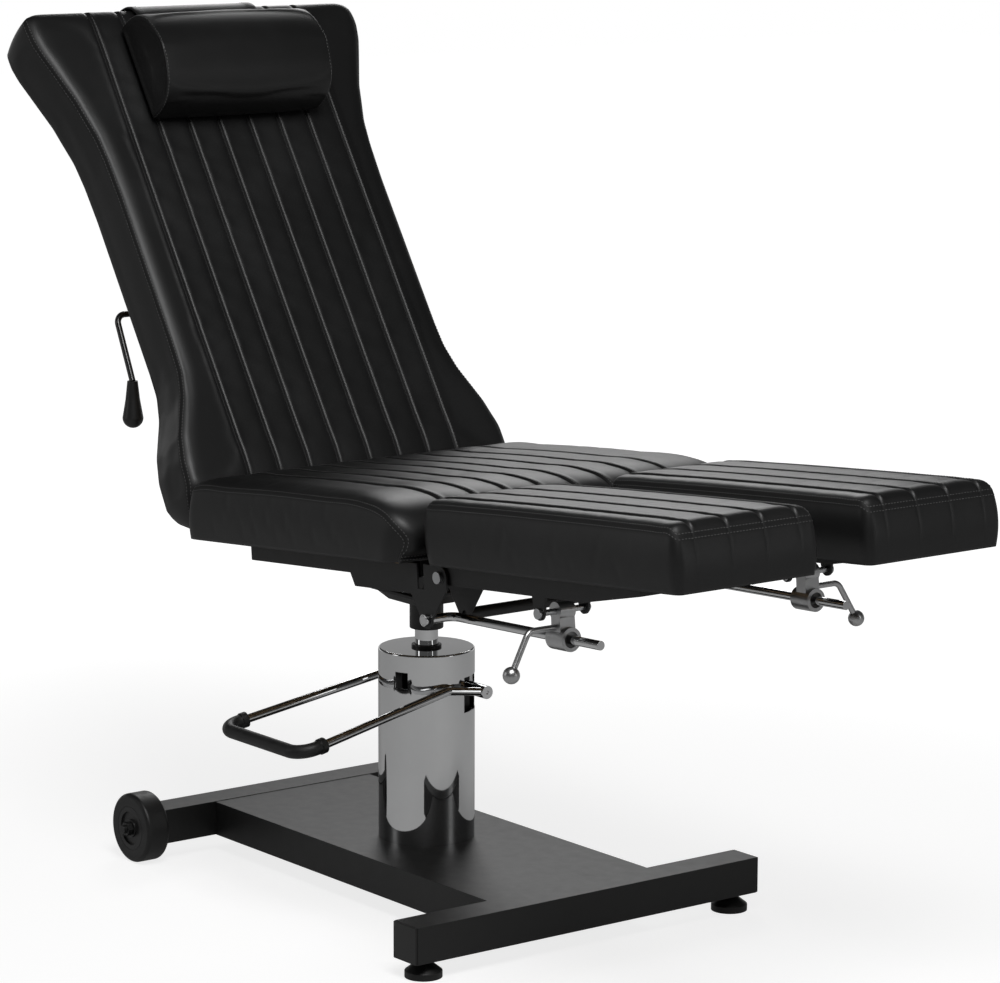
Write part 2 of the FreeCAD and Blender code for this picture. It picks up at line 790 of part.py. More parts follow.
outer_plate = hinge_plate(plate_rear, frame_half, plate_outer, rod_radius + running_gap)
outer_plate = outer_plate.cut(block(plate_slot_u, plate_slot_u + plate_slot_width,
                                    frame_half - cut_overrun, plate_outer + cut_overrun,
                                    -plate_slot_depth, 0))
inner_plate = hinge_plate(front_tube, bay_inner - plate_metal, bay_inner, hinge_bolt_radius)
inner_plate = inner_plate.cut(block(front_tube - cut_overrun, front_tube + tube_width,
                                    bay_inner - plate_metal - cut_overrun, bay_inner + cut_overrun,
                                    -tube_depth, 0))
plates = list(pair(outer_plate).values()) + list(pair(inner_plate).values())
parts["hinge_plates"] = on_seat(Part.makeCompound(plates))
bar_half = bay_inner - plate_metal
parts["plate_cross_bar"] = on_seat(along_y(cross_bar_radius, rod_pivot_u, rod_pivot_w, -bar_half, bar_half))

hinge_bolt = along_y(hinge_bolt_radius, footrest_pivot_u, footrest_pivot_w, bar_half, plate_outer)
hinge_bolt = hinge_bolt.fuse(along_y(bolt_head_radius, footrest_pivot_u, footrest_pivot_w,
                                     plate_outer, plate_outer + bolt_head_height))
bolt_nut = hexagon(bolt_head_radius, Vector(footrest_pivot_u, bar_half, footrest_pivot_w),
                   Vector(footrest_pivot_u, bar_half - bolt_head_height, footrest_pivot_w))
hinge_bolt = hinge_bolt.fuse(bolt_nut)
parts["footrest_hinge_bolts"] = on_seat(Part.makeCompound(list(pair(hinge_bolt).values())))

# Seat cushion and its board
seat_piping = seat_thickness - piping_drop
side_arc = [(seat_half + side_bulge, seat_piping / 2), (seat_half, seat_piping)]
other_side_arc = [(-seat_half - side_bulge, seat_piping / 2), (-seat_bottom_half, 0)]
seams = [seam for seam in reversed(seat_seams)] + [-seam for seam in seat_seams]
steps = [[(seat_bottom_half, 0)], side_arc, edge_arc((seat_half, seat_piping), (seams[0], seat_thickness))]
steps += channels(seams, seat_thickness)
steps += [edge_arc((seams[-1], seat_thickness), (-seat_half, seat_piping)), other_side_arc]
seat_section = prism((-seat_bottom_half, 0), steps, cross_plane(seat_rear_foot), Vector(1, 0, 0)
                     * (seat_front_nose - seat_rear_foot))

seat_crown = seat_thickness + channel_crown
nose_share, brow_share, rear_share = 0.42, 0.8, 0.76
steps = [
    [(seat_front_foot, 0)],
    [(seat_front_nose, seat_crown * nose_share), (seat_front_brow, seat_crown * brow_share)],
    [((seat_front_brow + seat_front_shoulder) / 2, seat_crown * (1 + brow_share) / 2 + side_bulge),
     (seat_front_shoulder, seat_crown)],
    [(seat_rear_shoulder, seat_crown)],
    [((seat_rear_top + seat_rear_shoulder) / 2 - side_bulge, seat_crown * (1 + rear_share) / 2 + side_bulge),
     (seat_rear_top, seat_crown * rear_share)],
]
wide = seat_half + 2 * side_bulge
seat_profile = prism((seat_rear_foot, 0), steps, side_plane(-wide), ACROSS * (2 * wide))
seat_wide = seat_half + side_bulge
start, steps = rounded_plan(seat_rear_foot, seat_front_nose, -seat_wide, seat_wide, seat_corner, seat_corner)
seat_plan = prism(start, steps, plan_plane(0), UP * (seat_crown + cut_overrun))
seat_board = block(seat_rear_foot + seat_board_inset, seat_front_foot - seat_board_inset,
                   seat_board_inset - seat_bottom_half, seat_bottom_half - seat_board_inset,
                   0, board_thickness)
seat_cushion = seat_section.common(seat_profile).common(seat_plan).cut(seat_board)
parts["seat_board"] = on_seat(seat_board)
parts["seat_cushion"] = on_seat(seat_cushion)

# Backrest frame
rail_front = -back_thickness
rail_back = rail_front - tube_depth
rail_inner = back_rail_half - tube_width


def upright(s0, s1, y0, y1, wall, along):
    """A tube of the back frame, drawn in the backrest's own directions."""
    outer = block(rail_back, rail_front, y0, y1, s0, s1)
    in_y, in_s = (wall, 0) if along == "s" else (0, wall)
    return outer.cut(block(rail_back + wall, rail_front - wall, y0 + in_y, y1 - in_y, s0 + in_s, s1 - in_s))


back_rail = upright(back_rail_start, back_rail_end, rail_inner, back_rail_half, tube_wall, "s")
frame_tubes = list(pair(back_rail).values())
for s in (back_cross_lower, back_cross_upper):
    frame_tubes.append(upright(s, s + tube_width, -rail_inner, rail_inner, tube_wall, "y"))
parts["back_frame"] = on_back(Part.makeCompound(frame_tubes))

bracket_inner = rail_inner - bracket_width
bracket_foot = back_rail_start
bracket = slab([(hinge_d - bracket_eye, hinge_s), (hinge_d + bracket_eye, hinge_s),
                (rail_front, bracket_foot), (rail_front, bracket_foot + bracket_length),
                (rail_back, bracket_foot + bracket_length), (rail_back, bracket_foot)],
               bracket_inner, rail_inner)
bracket = bracket.fuse(along_y(bracket_eye, hinge_d, hinge_s, bracket_inner, rail_inner))
bracket = bracket.cut(along_y(hinge_radius, hinge_d, hinge_s,
                              bracket_inner - cut_overrun, rail_inner + cut_overrun))
parts["hinge_brackets"] = on_back(Part.makeCompound(list(pair(bracket).values())))
parts["hinge_shaft"] = on_back(along_y(hinge_radius, hinge_d, hinge_s, -hinge_half, hinge_half))

head_ear = slab([(spring_head_d - ear_radius, spring_head_s), (spring_head_d + ear_radius, spring_head_s),
                 (rail_front, back_cross_lower), (lever_d - lever_block_half, back_cross_lower)],
                ear_inner, ear_outer)
head_ear = head_ear.fuse(along_y(ear_radius, spring_head_d, spring_head_s, ear_inner, ear_outer))
head_ear = head_ear.cut(along_y(spring_pin_radius, spring_head_d, spring_head_s, 0, ear_outer + cut_overrun))
head_ear = head_ear.cut(along_y(lever_radius + running_gap, lever_d, lever_s, 0, ear_outer + cut_overrun))
head_pin = along_y(spring_pin_radius, spring_head_d, spring_head_s, -ear_outer, ear_outer)
lever_block_outer = back_rail_half - side_gap
lever_block = block(rail_back - lever_block_depth, rail_back,
                    -lever_block_outer, lever_block_width - lever_block_outer,
                    lever_s - lever_block_half, lever_s + lever_block_half)
lever_block = lever_block.cut(along_y(lever_radius + running_gap, lever_d, lever_s,
                                      -back_rail_half - cut_overrun, 0))
brackets = list(pair(head_ear).values()) + [head_pin, lever_block]
parts["back_brackets"] = on_back(Part.makeCompound(brackets))

# Recline lever, from the spring's head out to the sitter's right
lever_inner_end = Vector(lever_d, ear_outer, lever_s)
lever_shaft = along_y(lever_radius, lever_d, lever_s, lever_y / 2, ear_outer)
lever_tip = block(lever_d - lever_finger, lever_d, -lever_finger_width / 2, lever_finger_width / 2,
                  lever_s - lever_finger_width / 2, lever_s + lever_finger_width / 2)
lever_shaft = on_back(lever_shaft.fuse(lever_tip))
elbow = back_point(lever_s, lever_d, lever_y)
knee = elbow + Vector(lever_lean, 0, -lever_drop)
hang = knee - UP * lever_grip_length
lever_bar = bent_bar([back_point(lever_s, lever_d, lever_y / 2), elbow, knee], [lever_bend], lever_radius)
lever_rod = lever_shaft.fuse(lever_bar)
grip_round = lever_grip_bottom * mid_corner_share
grip_steps = [
    [(lever_grip_bottom - grip_round, grip_round), (lever_grip_bottom, lever_grip_bottom)],
    [(lever_grip_waist, (lever_grip_bottom + lever_grip_length) / 2)],
    [(lever_grip_top, lever_grip_length)],
    [(0, lever_grip_length)],
]
grip_outline = outline((0, 0), grip_steps, lambda r, z: hang + Vector(r, 0, z))
grip = Part.Face(grip_outline).revolve(hang, UP, 360)
parts["release_lever"] = lever_rod.cut(grip)
parts["lever_grip"] = grip.cut(lever_rod)

# Gas spring, with room in its head for the last millimetres of its swing
anchor = seat_point(anchor_u, anchor_w)
head = back_point(spring_head_s, spring_head_d)
spring_line = (head - anchor).normalize()
tube_start = anchor + spring_line * spring_neck
tube_stop = tube_start + spring_line * spring_length
across_eye = ACROSS * (spring_eye_width / 2)
spring_tube = cylinder(spring_radius, tube_start, tube_stop)
spring_tube = spring_tube.cut(cylinder(spring_radius - spring_wall, tube_start + spring_line * spring_gland,
                                       tube_stop - spring_line * spring_gland))
spring_tube = spring_tube.cut(cylinder(spring_rod_radius + running_gap,
                                       tube_start + spring_line * spring_gland,
                                       tube_stop + spring_line * cut_overrun))
spring_tube = spring_tube.fuse(cylinder(spring_rod_radius, anchor, tube_start))
spring_tube = spring_tube.fuse(cylinder(spring_eye, anchor - across_eye, anchor + across_eye))
pin_hole = cylinder(spring_pin_radius + running_gap, anchor - across_eye * 2, anchor + across_eye * 2)
parts["spring_cylinder"] = spring_tube.cut(pin_hole)
rod_foot = tube_stop - spring_line * spring_rod_inside
rod = cylinder(spring_rod_radius, rod_foot, head)
rod = rod.fuse(cylinder(spring_radius - spring_wall - running_gap, rod_foot,
                        rod_foot + spring_line * spring_piston_height))
rod = rod.fuse(cylinder(spring_head_eye, head - across_eye, head + across_eye))
parts["spring_rod"] = rod.cut(cylinder(spring_head_bore, head - across_eye * 2, head + across_eye * 2))

# Backrest cushion, its board and its outline seen from the front
back_middle = (back_foot + back_top) / 2
back_reach = (back_top - back_foot) / 2
hip_shares = ((0.88, 0.0), (0.965, 0.3), (1.0, 1.0))
waist_shares = ((0.83, 0.396), (0.29, 0.747), (0.08, 0.857))
shoulder_shares = ((0.09, 0.35), (0.38, 0.6), (0.71, 0.777))
corner_shares = ((1.0035, 0.6), (0.989, 0.8), (0.951, 0.875), (0.67, 1.0))
top_corner_share = 0.87
shoulder_end = back_top - (back_top_half - back_waist_half) * top_corner_share


def back_outline(inset, d):
    """The backrest seen from the front, drawn in by an inset all round, as a wire at one depth."""
    def at(half, s, side):
        y = side * half * (1 - inset / back_top_half)
        return (y, back_middle + (s - back_middle) * (1 - inset / back_reach))

    right = [(back_hip_half * hip_shares[0][0], back_foot)]
    right += [(back_hip_half * half, back_foot + (back_brow - back_foot) * rise)
              for half, rise in hip_shares[1:]]
    hip_in = back_hip_half - back_waist_half
    right += [(back_waist_half + hip_in * half, back_brow + (back_waist_start - back_brow) * rise)
              for half, rise in waist_shares]
    right += [(back_waist_half, back_waist_start), (back_waist_half, back_waist_end)]
    top_in = back_top_half - back_waist_half
    right += [(back_waist_half + top_in * half, back_waist_end + (shoulder_end - back_waist_end) * rise)
              for half, rise in shoulder_shares]
    right += [(back_top_half, shoulder_end)]
    right += [(back_top_half * half, shoulder_end + (back_top - shoulder_end) * rise)
              for half, rise in corner_shares]
    up = [at(half, s, 1) for half, s in right]
    down = [at(half, s, -1) for half, s in reversed(right)]
    steps = [[up[1], up[2]], [up[3], up[4]], [up[5], up[6]], [up[7]], [up[8], up[9]], [up[10], up[11]],
             [up[12]], [up[13], up[14]], [up[15]],
             [down[0]], [down[1]], [down[2], down[3]], [down[4]], [down[5], down[6]],
             [down[7], down[8]], [down[9]], [down[10], down[11]], [down[12], down[13]],
             [down[14], down[15]]]
    return outline(up[0], steps, lambda y, s: Vector(d, y, s))


back_depths = (-back_thickness - cut_overrun, -back_thickness / 2, -piping_drop, channel_crown + cut_overrun)
back_insets = (side_bulge, 0, side_bulge / 2, side_bulge * 4)
layers = [back_outline(inset, d) for inset, d in zip(back_insets, back_depths)]
back_block = Part.makeLoft(layers, True, True)

wide = back_top_half + side_bulge
seams = [seam for seam in reversed(back_seams)] + [-seam for seam in back_seams]
steps = [[(wide, -back_thickness)], [(wide, -piping_drop)], edge_arc((wide, -piping_drop), (seams[0], 0))]
steps += channels(seams, 0)
steps += [edge_arc((seams[-1], 0), (-wide, -piping_drop))]
back_section = prism((-wide, -back_thickness), steps, lambda y, d: Vector(d, y, back_foot),
                     UP * (back_top - back_foot))


# Shares of the backrest's thickness and of its top edge's rounding
front_round_share, rear_round_share = 0.28, 0.78
round_shares = (0.32, 0.2)
rear_shares = (0.96, 0.4, 1.7)


def over_top(gap):
    """The line over the backrest's top edge, a gap outside it, from the front face to the rear."""
    front = channel_crown + gap
    nose = back_top - back_thickness / 2
    drop = -back_thickness * front_round_share
    corner_gap = gap * math.sqrt(0.5)
    return [(front, nose),
            [(front - (front - drop) * round_shares[0],
              back_top - (back_top - nose) * round_shares[1] + corner_gap),
             (drop, back_top + gap)],
            [(-back_thickness * rear_round_share, back_top + gap)],
            [(-back_thickness * rear_shares[0] - corner_gap,
              back_top - piping_drop * rear_shares[1] + corner_gap),
             (-back_thickness - gap, back_top - piping_drop * rear_shares[2])]]


top_line = over_top(0)
brow_rise, brow_out, brow_up = back_brow - back_foot, 0.6, 0.4
heel_back, heel_up = 0.9, 0.24
steps = [[(channel_crown * brow_out, back_brow + brow_rise * brow_up),
          (channel_crown, back_brow + brow_rise)], [top_line[0]]]
steps += top_line[1:]
steps += [[(-back_thickness, back_heel)],
          [(-back_thickness * heel_back, back_foot + (back_heel - back_foot) * heel_up),
           (back_foot_depth, back_foot)]]
back_profile = prism((back_brow_depth, back_brow), steps, side_plane(-wide), ACROSS * (2 * wide))
back_board = block(-back_thickness, board_thickness - back_thickness, -back_board_half, back_board_half,
                   back_board_start, back_board_end)
back_cushion = back_section.common(back_profile).common(back_block).cut(back_board)
parts["back_board"] = on_back(back_board)
parts["back_cushion"] = on_back(back_cushion)

# Head pillow and the band that hooks over the backrest's top edge
pillow_foot = channel_crown + seat_clearance
pillow_rise = pillow_depth - pillow_foot
pillow_long = pillow_end - pillow_start
pillow_shares = (((0.45, 0.01), (0.8, 0.15)), ((1.0, 0.5), (0.8, 0.85)), ((0.45, 0.99), (0.0, 1.0)))
steps = []
for arc in pillow_shares:
    steps.append([(pillow_foot + pillow_rise * out, pillow_start + pillow_long * along)
                  for out, along in arc])
pillow = prism((pillow_foot, pillow_start), steps, side_plane(-pillow_half), ACROSS * (2 * pillow_half))
flat_half = pillow_half - pillow_end_bulge
middle_s = (pillow_start + pillow_end) / 2
steps = [[(pillow_half, middle_s), (flat_half, pillow_end)], [(-flat_half, pillow_end)],
         [(-pillow_half, middle_s), (-flat_half, pillow_start)]]
pillow_plan = prism((flat_half, pillow_start), steps, lambda y, s: Vector(0, y, s),
                    Vector(pillow_depth + pillow_foot, 0, 0))
parts["head_pillow"] = on_back(pillow.common(pillow_plan))

inside = over_top(seat_clearance)
outside = over_top(seat_clearance + band_thickness)
tail = back_top - band_tail
band_front = (inside[0][0], pillow_end)
steps = [[inside[0]]] + inside[1:]
steps += [[(inside[-1][-1][0], tail)], [(outside[-1][-1][0], tail)], [outside[-1][-1]]]
steps += [[outside[3][0], outside[2][0]], [outside[1][-1]], [outside[1][0], outside[0]],
          [(outside[0][0], pillow_end)]]
band = prism(band_front, steps, side_plane(-band_half), ACROSS * (2 * band_half))
parts["pillow_band"] = on_back(band)

# Footrests, one for each leg
leg_piping = leg_thickness - piping_drop
seams = list(reversed(leg_seams))
steps = [[(leg_outer - side_bulge, 0)], [(leg_outer + side_bulge, leg_piping / 2), (leg_outer, leg_piping)],
         edge_arc((leg_outer, leg_piping), (seams[0], leg_thickness))]
steps += channels(seams, leg_thickness)
steps += [edge_arc((seams[-1], leg_thickness), (leg_inner, leg_piping)),
          [(leg_inner - side_bulge / 2, leg_piping / 2), (leg_inner + side_bulge, 0)]]
leg_section = prism((leg_inner + side_bulge, 0), steps, cross_plane(leg_rear),
                    Vector(leg_front + side_bulge - leg_rear, 0, 0))
leg_crown = leg_thickness + channel_crown
round_in = leg_end_radius * mid_corner_share
steps = [
    [(leg_front, 0)],
    [(leg_front + side_bulge, leg_piping / 2), (leg_front, leg_crown - leg_end_radius)],
    [(leg_front - round_in, leg_crown - round_in), (leg_front - leg_end_radius, leg_crown)],
    [(leg_rear + leg_end_radius, leg_crown)],
    [(leg_rear + round_in, leg_crown - round_in), (leg_rear, leg_crown - leg_end_radius)],
]
leg_profile = prism((leg_rear, 0), steps, side_plane(0), ACROSS * (leg_outer + 2 * side_bulge))
start, steps = rounded_plan(leg_rear, leg_front + side_bulge, leg_inner - side_bulge / 2,
                            leg_outer + side_bulge, leg_end_radius, leg_corner)
leg_plan = prism(start, steps, plan_plane(0), UP * leg_thickness * 2)
leg_board = block(leg_rear + leg_board_inset, leg_front - leg_board_inset,
                  leg_inner + leg_board_inset, leg_outer - leg_board_inset, 0, board_thickness)
leg_cushion = leg_section.common(leg_profile).common(leg_plan).cut(leg_board)
for name, shape in pair(leg_cushion).items():
    parts["leg_cushion_" + name] = on_seat(shape)
for name, shape in pair(leg_board).items():
    parts["leg_board_" + name] = on_seat(shape)

channel = slab([(channel_start, 0), (channel_end, 0), (channel_end, -channel_nose),
                (channel_taper_start, -channel_depth), (channel_start, -channel_depth)],
               channel_inner, channel_outer)
channel = channel.cut(block(channel_start - cut_overrun, channel_tongue_end, channel_inner - cut_overrun,
                            tongue_inner, -channel_depth - cut_overrun, cut_overrun))
hollow_floor = -channel_depth + channel_wall
for u0, y0 in ((channel_start, tongue_inner), (channel_tongue_end, channel_inner)):
    hollow = slab([(u0 + channel_wall, cut_overrun), (channel_end - channel_wall, cut_overrun),
                   (channel_end - channel_wall, -channel_nose + channel_wall),
                   (channel_taper_start, hollow_floor), (u0 + channel_wall, hollow_floor)],
                  y0 + channel_wall, channel_outer - channel_wall)
    channel = channel.cut(hollow)
lug_rows = ((channel_outer - lug_width, channel_outer), (channel_inner, channel_inner + lug_width))
for y0, y1 in lug_rows:
    lug = slab([(pin_u - lug_half_top, -channel_depth), (pin_u + lug_half_top, -channel_depth),
                (pin_u + lug_radius, pin_w), (pin_u - lug_radius, pin_w)], y0, y1)
    lug = lug.fuse(along_y(lug_radius, pin_u, pin_w, y0, y1))
    channel = channel.fuse(lug)
channel = channel.cut(along_y(pin_radius, pin_u, pin_w,
                              channel_inner - cut_overrun, channel_outer + cut_overrun))
channel = channel.cut(along_y(hinge_bolt_radius + running_gap, footrest_pivot_u, footrest_pivot_w,
                              tongue_inner - cut_overrun, channel_outer + cut_overrun))
for name, shape in pair(channel).items():
    parts["leg_channel_" + name] = on_seat(shape)

clip_y = channel_inner - clip_wire - side_gap
pin = along_y(pin_radius, pin_u, pin_w, clip_y - pin_head_height, channel_outer)
pin = pin.fuse(along_y(pin_head_radius, pin_u, pin_w, channel_outer, channel_outer + pin_head_height))
clip = Part.makeTorus(pin_radius + clip_wire, clip_wire, Vector(pin_u, clip_y, pin_w), ACROSS)
for name, shape in pair(Part.makeCompound([pin, clip])).items():
    parts["leg_pin_" + name] = on_seat(shape)

# Chrome rods that the clamps slide along
rod_start = Vector(rod_pivot_u, plate_outer + side_gap + rod_cap_height, rod_pivot_w)
rod_bend = Vector(rod_pivot_u, rod_line, rod_pivot_w)
rod_end = rod_bend + Vector(rod_length, 0, -rod_fall)
leg_rod = bent_bar([rod_start, rod_bend, rod_end], [rod_corner], rod_radius)
cap_foot = plate_outer + side_gap
cap = along_y(rod_cap_radius, rod_pivot_u, rod_pivot_w, cap_foot, cap_foot + rod_cap_height)
cap = cap.cut(along_y(rod_radius, rod_pivot_u, rod_pivot_w, rod_line, rod_start.y + cut_overrun))
for name, shape in pair(Part.makeCompound([leg_rod, cap])).items():
    parts["leg_rod_" + name] = on_seat(shape)

rod_along = (rod_end - rod_bend).normalize()
clamp_pin = Vector(pin_u, rod_line, pin_w)
bore_centre = rod_bend + rod_along * (clamp_pin - rod_bend).dot(rod_along)
half_clamp = clamp_width / 2
half_sleeve = rod_along * clamp_length / 2
clamp = cylinder(clamp_sleeve, bore_centre - half_sleeve, bore_centre + half_sleeve)
clamp = clamp.fuse(block(pin_u - lug_radius, pin_u + lug_radius, rod_line - half_clamp, rod_line + half_clamp,
                         bore_centre.z, pin_w))
clamp = clamp.fuse(along_y(clamp_eye, pin_u, pin_w, rod_line - half_clamp, rod_line + half_clamp))
clamp = clamp.cut(cylinder(clamp_bore, bore_centre - half_sleeve * 2, bore_centre + half_sleeve * 2))
clamp = clamp.cut(along_y(pin_radius + running_gap, pin_u, pin_w,
                          rod_line - clamp_width, rod_line + clamp_width))
screw_u, screw_w = bore_centre.x, bore_centre.z + handle_rise
clamp = clamp.cut(along_y(handle_radius + running_gap, screw_u, screw_w,
                          rod_line - half_clamp / 2, rod_line + clamp_width))
for name, shape in pair(clamp).items():
    parts["leg_clamp_" + name] = on_seat(shape)

ball = Vector(screw_u, rod_line + handle_out, screw_w - handle_drop)
handle = bent_bar([Vector(screw_u, rod_line - half_clamp / 2, screw_w),
                   Vector(screw_u, rod_line + handle_reach, screw_w), ball], [rod_corner], handle_radius)
handle = handle.fuse(Part.makeSphere(ball_radius, ball))
for name, shape in pair(handle).items():
    parts["clamp_handle_" + name] = on_seat(shape)


# Every piece is moved alike and written out
def centring(shapes):
    """The move along X that puts the middle of the whole chair over the origin."""
    lows, highs = [], []
    for shape in shapes.values():
        box = shape.optimalBoundingBox(False, False)
        lows.append(box.XMin)
        highs.append(box.XMax)
    return Vector(-(min(lows) + max(highs)) / 2, 0, 0)


shift = centring(parts)
os.makedirs("parts", exist_ok=True)
for name, shape in parts.items():
    shape.translate(shift)
    shape.exportStep("parts/" + name + ".step")
print("pieces", len(parts), "moved by", round(shift.x, 3))
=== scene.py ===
import json
import math

import bmesh
import bpy
import numpy as np
from mathutils import Matrix, Vector
from mathutils.bvhtree import BVHTree


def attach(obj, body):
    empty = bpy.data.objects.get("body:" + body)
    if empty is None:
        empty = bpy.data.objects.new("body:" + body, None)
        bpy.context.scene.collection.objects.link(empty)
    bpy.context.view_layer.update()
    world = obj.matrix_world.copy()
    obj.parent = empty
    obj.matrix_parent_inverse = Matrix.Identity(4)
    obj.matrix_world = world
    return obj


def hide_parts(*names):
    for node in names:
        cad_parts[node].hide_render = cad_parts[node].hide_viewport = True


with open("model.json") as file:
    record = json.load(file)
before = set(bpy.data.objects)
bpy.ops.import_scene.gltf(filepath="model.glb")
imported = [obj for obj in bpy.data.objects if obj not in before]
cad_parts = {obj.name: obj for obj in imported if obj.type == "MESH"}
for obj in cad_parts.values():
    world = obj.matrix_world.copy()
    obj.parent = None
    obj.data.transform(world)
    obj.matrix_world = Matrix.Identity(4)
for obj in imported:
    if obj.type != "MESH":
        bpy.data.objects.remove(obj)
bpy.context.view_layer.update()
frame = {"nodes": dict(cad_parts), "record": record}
nodes = frame["nodes"]
scene = bpy.context.scene
MM = 0.001

# The photograph's camera. Angles in degrees, lengths in metres, image sizes in pixels.
IMAGE_WIDTH, IMAGE_HEIGHT = 1000, 983
CAMERA_PLACE = Vector((4.302975, -3.24159, 1.53811))
CAMERA_AZIMUTH, CAMERA_HEIGHT_ANGLE, CAMERA_ROLL = 52.53, 10.06, 0.17
FOCAL_PIXELS = 4003.57
LENS_CENTRE = (500.93, 488.35)
SENSOR = 36.0
VIEW_DEPTH = 100.0

# The seat's and backrest's own directions, as the chair stands in the photograph
SEAT_RISE_ANGLE, BACK_OPENING_ANGLE = 4.835, 61.64
SEAT_TILT = math.radians(SEAT_RISE_ANGLE)
BACK_LEAN = math.radians(BACK_OPENING_ANGLE - 90 - SEAT_RISE_ANGLE)
CHAIR_SHIFT = -95.785
SEAT_HEIGHT = 515.5
JOINT_U, JOINT_W = -164.8, 85.3


def seat_point(u, w, y=0.0):
    """A point by its place along, above and across the seat's underside, in millimetres."""
    x = u * math.cos(SEAT_TILT) - w * math.sin(SEAT_TILT) + CHAIR_SHIFT
    z = u * math.sin(SEAT_TILT) + w * math.cos(SEAT_TILT) + SEAT_HEIGHT
    return Vector((x, y, z)) * MM


BACK_ORIGIN = seat_point(JOINT_U, JOINT_W)
BACK_UP = Vector((math.sin(BACK_LEAN), 0, math.cos(BACK_LEAN)))
BACK_FRONT = Vector((BACK_UP.z, 0, -BACK_UP.x))


def back_point(s, d, y=0.0):
    """A point by its place up the backrest, in front of its seam plane and across, in millimetres."""
    return BACK_ORIGIN + BACK_UP * (s * MM) + BACK_FRONT * (d * MM) + Vector((0, y * MM, 0))


# Camera
def place_camera():
    azimuth, rise, roll = (math.radians(a) for a in (CAMERA_AZIMUTH, CAMERA_HEIGHT_ANGLE, CAMERA_ROLL))
    back = Vector((math.sin(azimuth) * math.cos(rise), -math.cos(azimuth) * math.cos(rise), math.sin(rise)))
    right = Vector((0, 0, 1)).cross(back).normalized()
    up = back.cross(right)
    rolled_right = right * math.cos(roll) + up * math.sin(roll)
    rolled_up = up * math.cos(roll) - right * math.sin(roll)
    data = bpy.data.cameras.new("photo_camera")
    data.sensor_width = SENSOR
    data.lens = FOCAL_PIXELS * SENSOR / IMAGE_WIDTH
    data.shift_x = (IMAGE_WIDTH / 2 - LENS_CENTRE[0]) / IMAGE_WIDTH
    data.shift_y = (LENS_CENTRE[1] - IMAGE_HEIGHT / 2) / IMAGE_WIDTH
    data.clip_end = VIEW_DEPTH
    camera = bpy.data.objects.new("photo_camera", data)
    scene.collection.objects.link(camera)
    turn = Matrix((rolled_right, rolled_up, back)).transposed()
    camera.matrix_world = Matrix.Translation(CAMERA_PLACE) @ turn.to_4x4()
    scene.camera = camera


# Node trees, with maths written as expressions
class Value:
    """A socket of a node tree, whose sums add Math nodes."""

    def __init__(self, tree, socket):
        self.tree, self.socket = tree, socket

    def _math(self, operation, first, second=None):
        sockets = [first] if second is None else [first, second]
        return self.tree.node("ShaderNodeMath", {"operation": operation}, dict(enumerate(sockets)))

    def __add__(self, other):
        return self._math("ADD", self, other)

    def __radd__(self, other):
        return self._math("ADD", other, self)

    def __sub__(self, other):
        return self._math("SUBTRACT", self, other)

    def __rsub__(self, other):
        return self._math("SUBTRACT", other, self)

    def __mul__(self, other):
        return self._math("MULTIPLY", self, other)

    def __rmul__(self, other):
        return self._math("MULTIPLY", other, self)

    def __getitem__(self, name):
        return Value(self.tree, self.socket.node.outputs[name])

    def clamp(self):
        return self.tree.node("ShaderNodeClamp", {}, {0: self})

    def ramp(self, start, end, low=0.0, high=1.0):
        """Rises smoothly from low to high as the value goes from start to end."""
        settings = {"interpolation_type": "SMOOTHSTEP"}
        return self.tree.node("ShaderNodeMapRange", settings, {0: self, 1: start, 2: end, 3: low, 4: high})


class Tree:
    """A material, world or geometry tree, filled by one method."""

    def __init__(self, node_tree):
        self.tree = node_tree
        self.tree.nodes.clear()

    def node(self, kind, settings=None, inputs=None, output=0):
        made = self.tree.nodes.new(kind)
        for name, value in (settings or {}).items():
            setattr(made, name, value)
        for name, value in (inputs or {}).items():
            if isinstance(value, Value):
                self.tree.links.new(value.socket, made.inputs[name])
            else:
                made.inputs[name].default_value = value
        return Value(self, made.outputs[output]) if made.outputs else None

    def colour(self, mask, first, second):
        """Goes from the first colour to the second as the mask goes from 0 to 1."""
        return self.node("ShaderNodeMix", {"data_type": "RGBA"}, {0: mask, 6: first, 7: second}, 2)


def grey(level, warmth=0.0):
    return (level * (1 + warmth), level, level * (1 - warmth), 1)


def finish_surface(name, make):
    """A material whose Principled shader gets what make returns for its sockets."""
    material = bpy.data.materials.new(name)
    material.use_nodes = True
    tree = Tree(material.node_tree)
    place = tree.node("ShaderNodeTexCoord", output="Object")
    shader = tree.node("ShaderNodeBsdfPrincipled", {}, make(tree, place))
    tree.node("ShaderNodeOutputMaterial", {}, {"Surface": shader})
    return material


def noise_at(tree, place, scale, detail=3, roughness=0.5):
    return tree.node("ShaderNodeTexNoise", {}, {"Vector": place, "Scale": scale, "Detail": detail,
                                                "Roughness": roughness})


def bump(tree, height, distance, strength=1.0, under=None):
    inputs = {"Height": height, "Distance": distance, "Strength": strength}
    if under is not None:
        inputs["Normal"] = under
    return tree.node("ShaderNodeBump", {}, inputs)


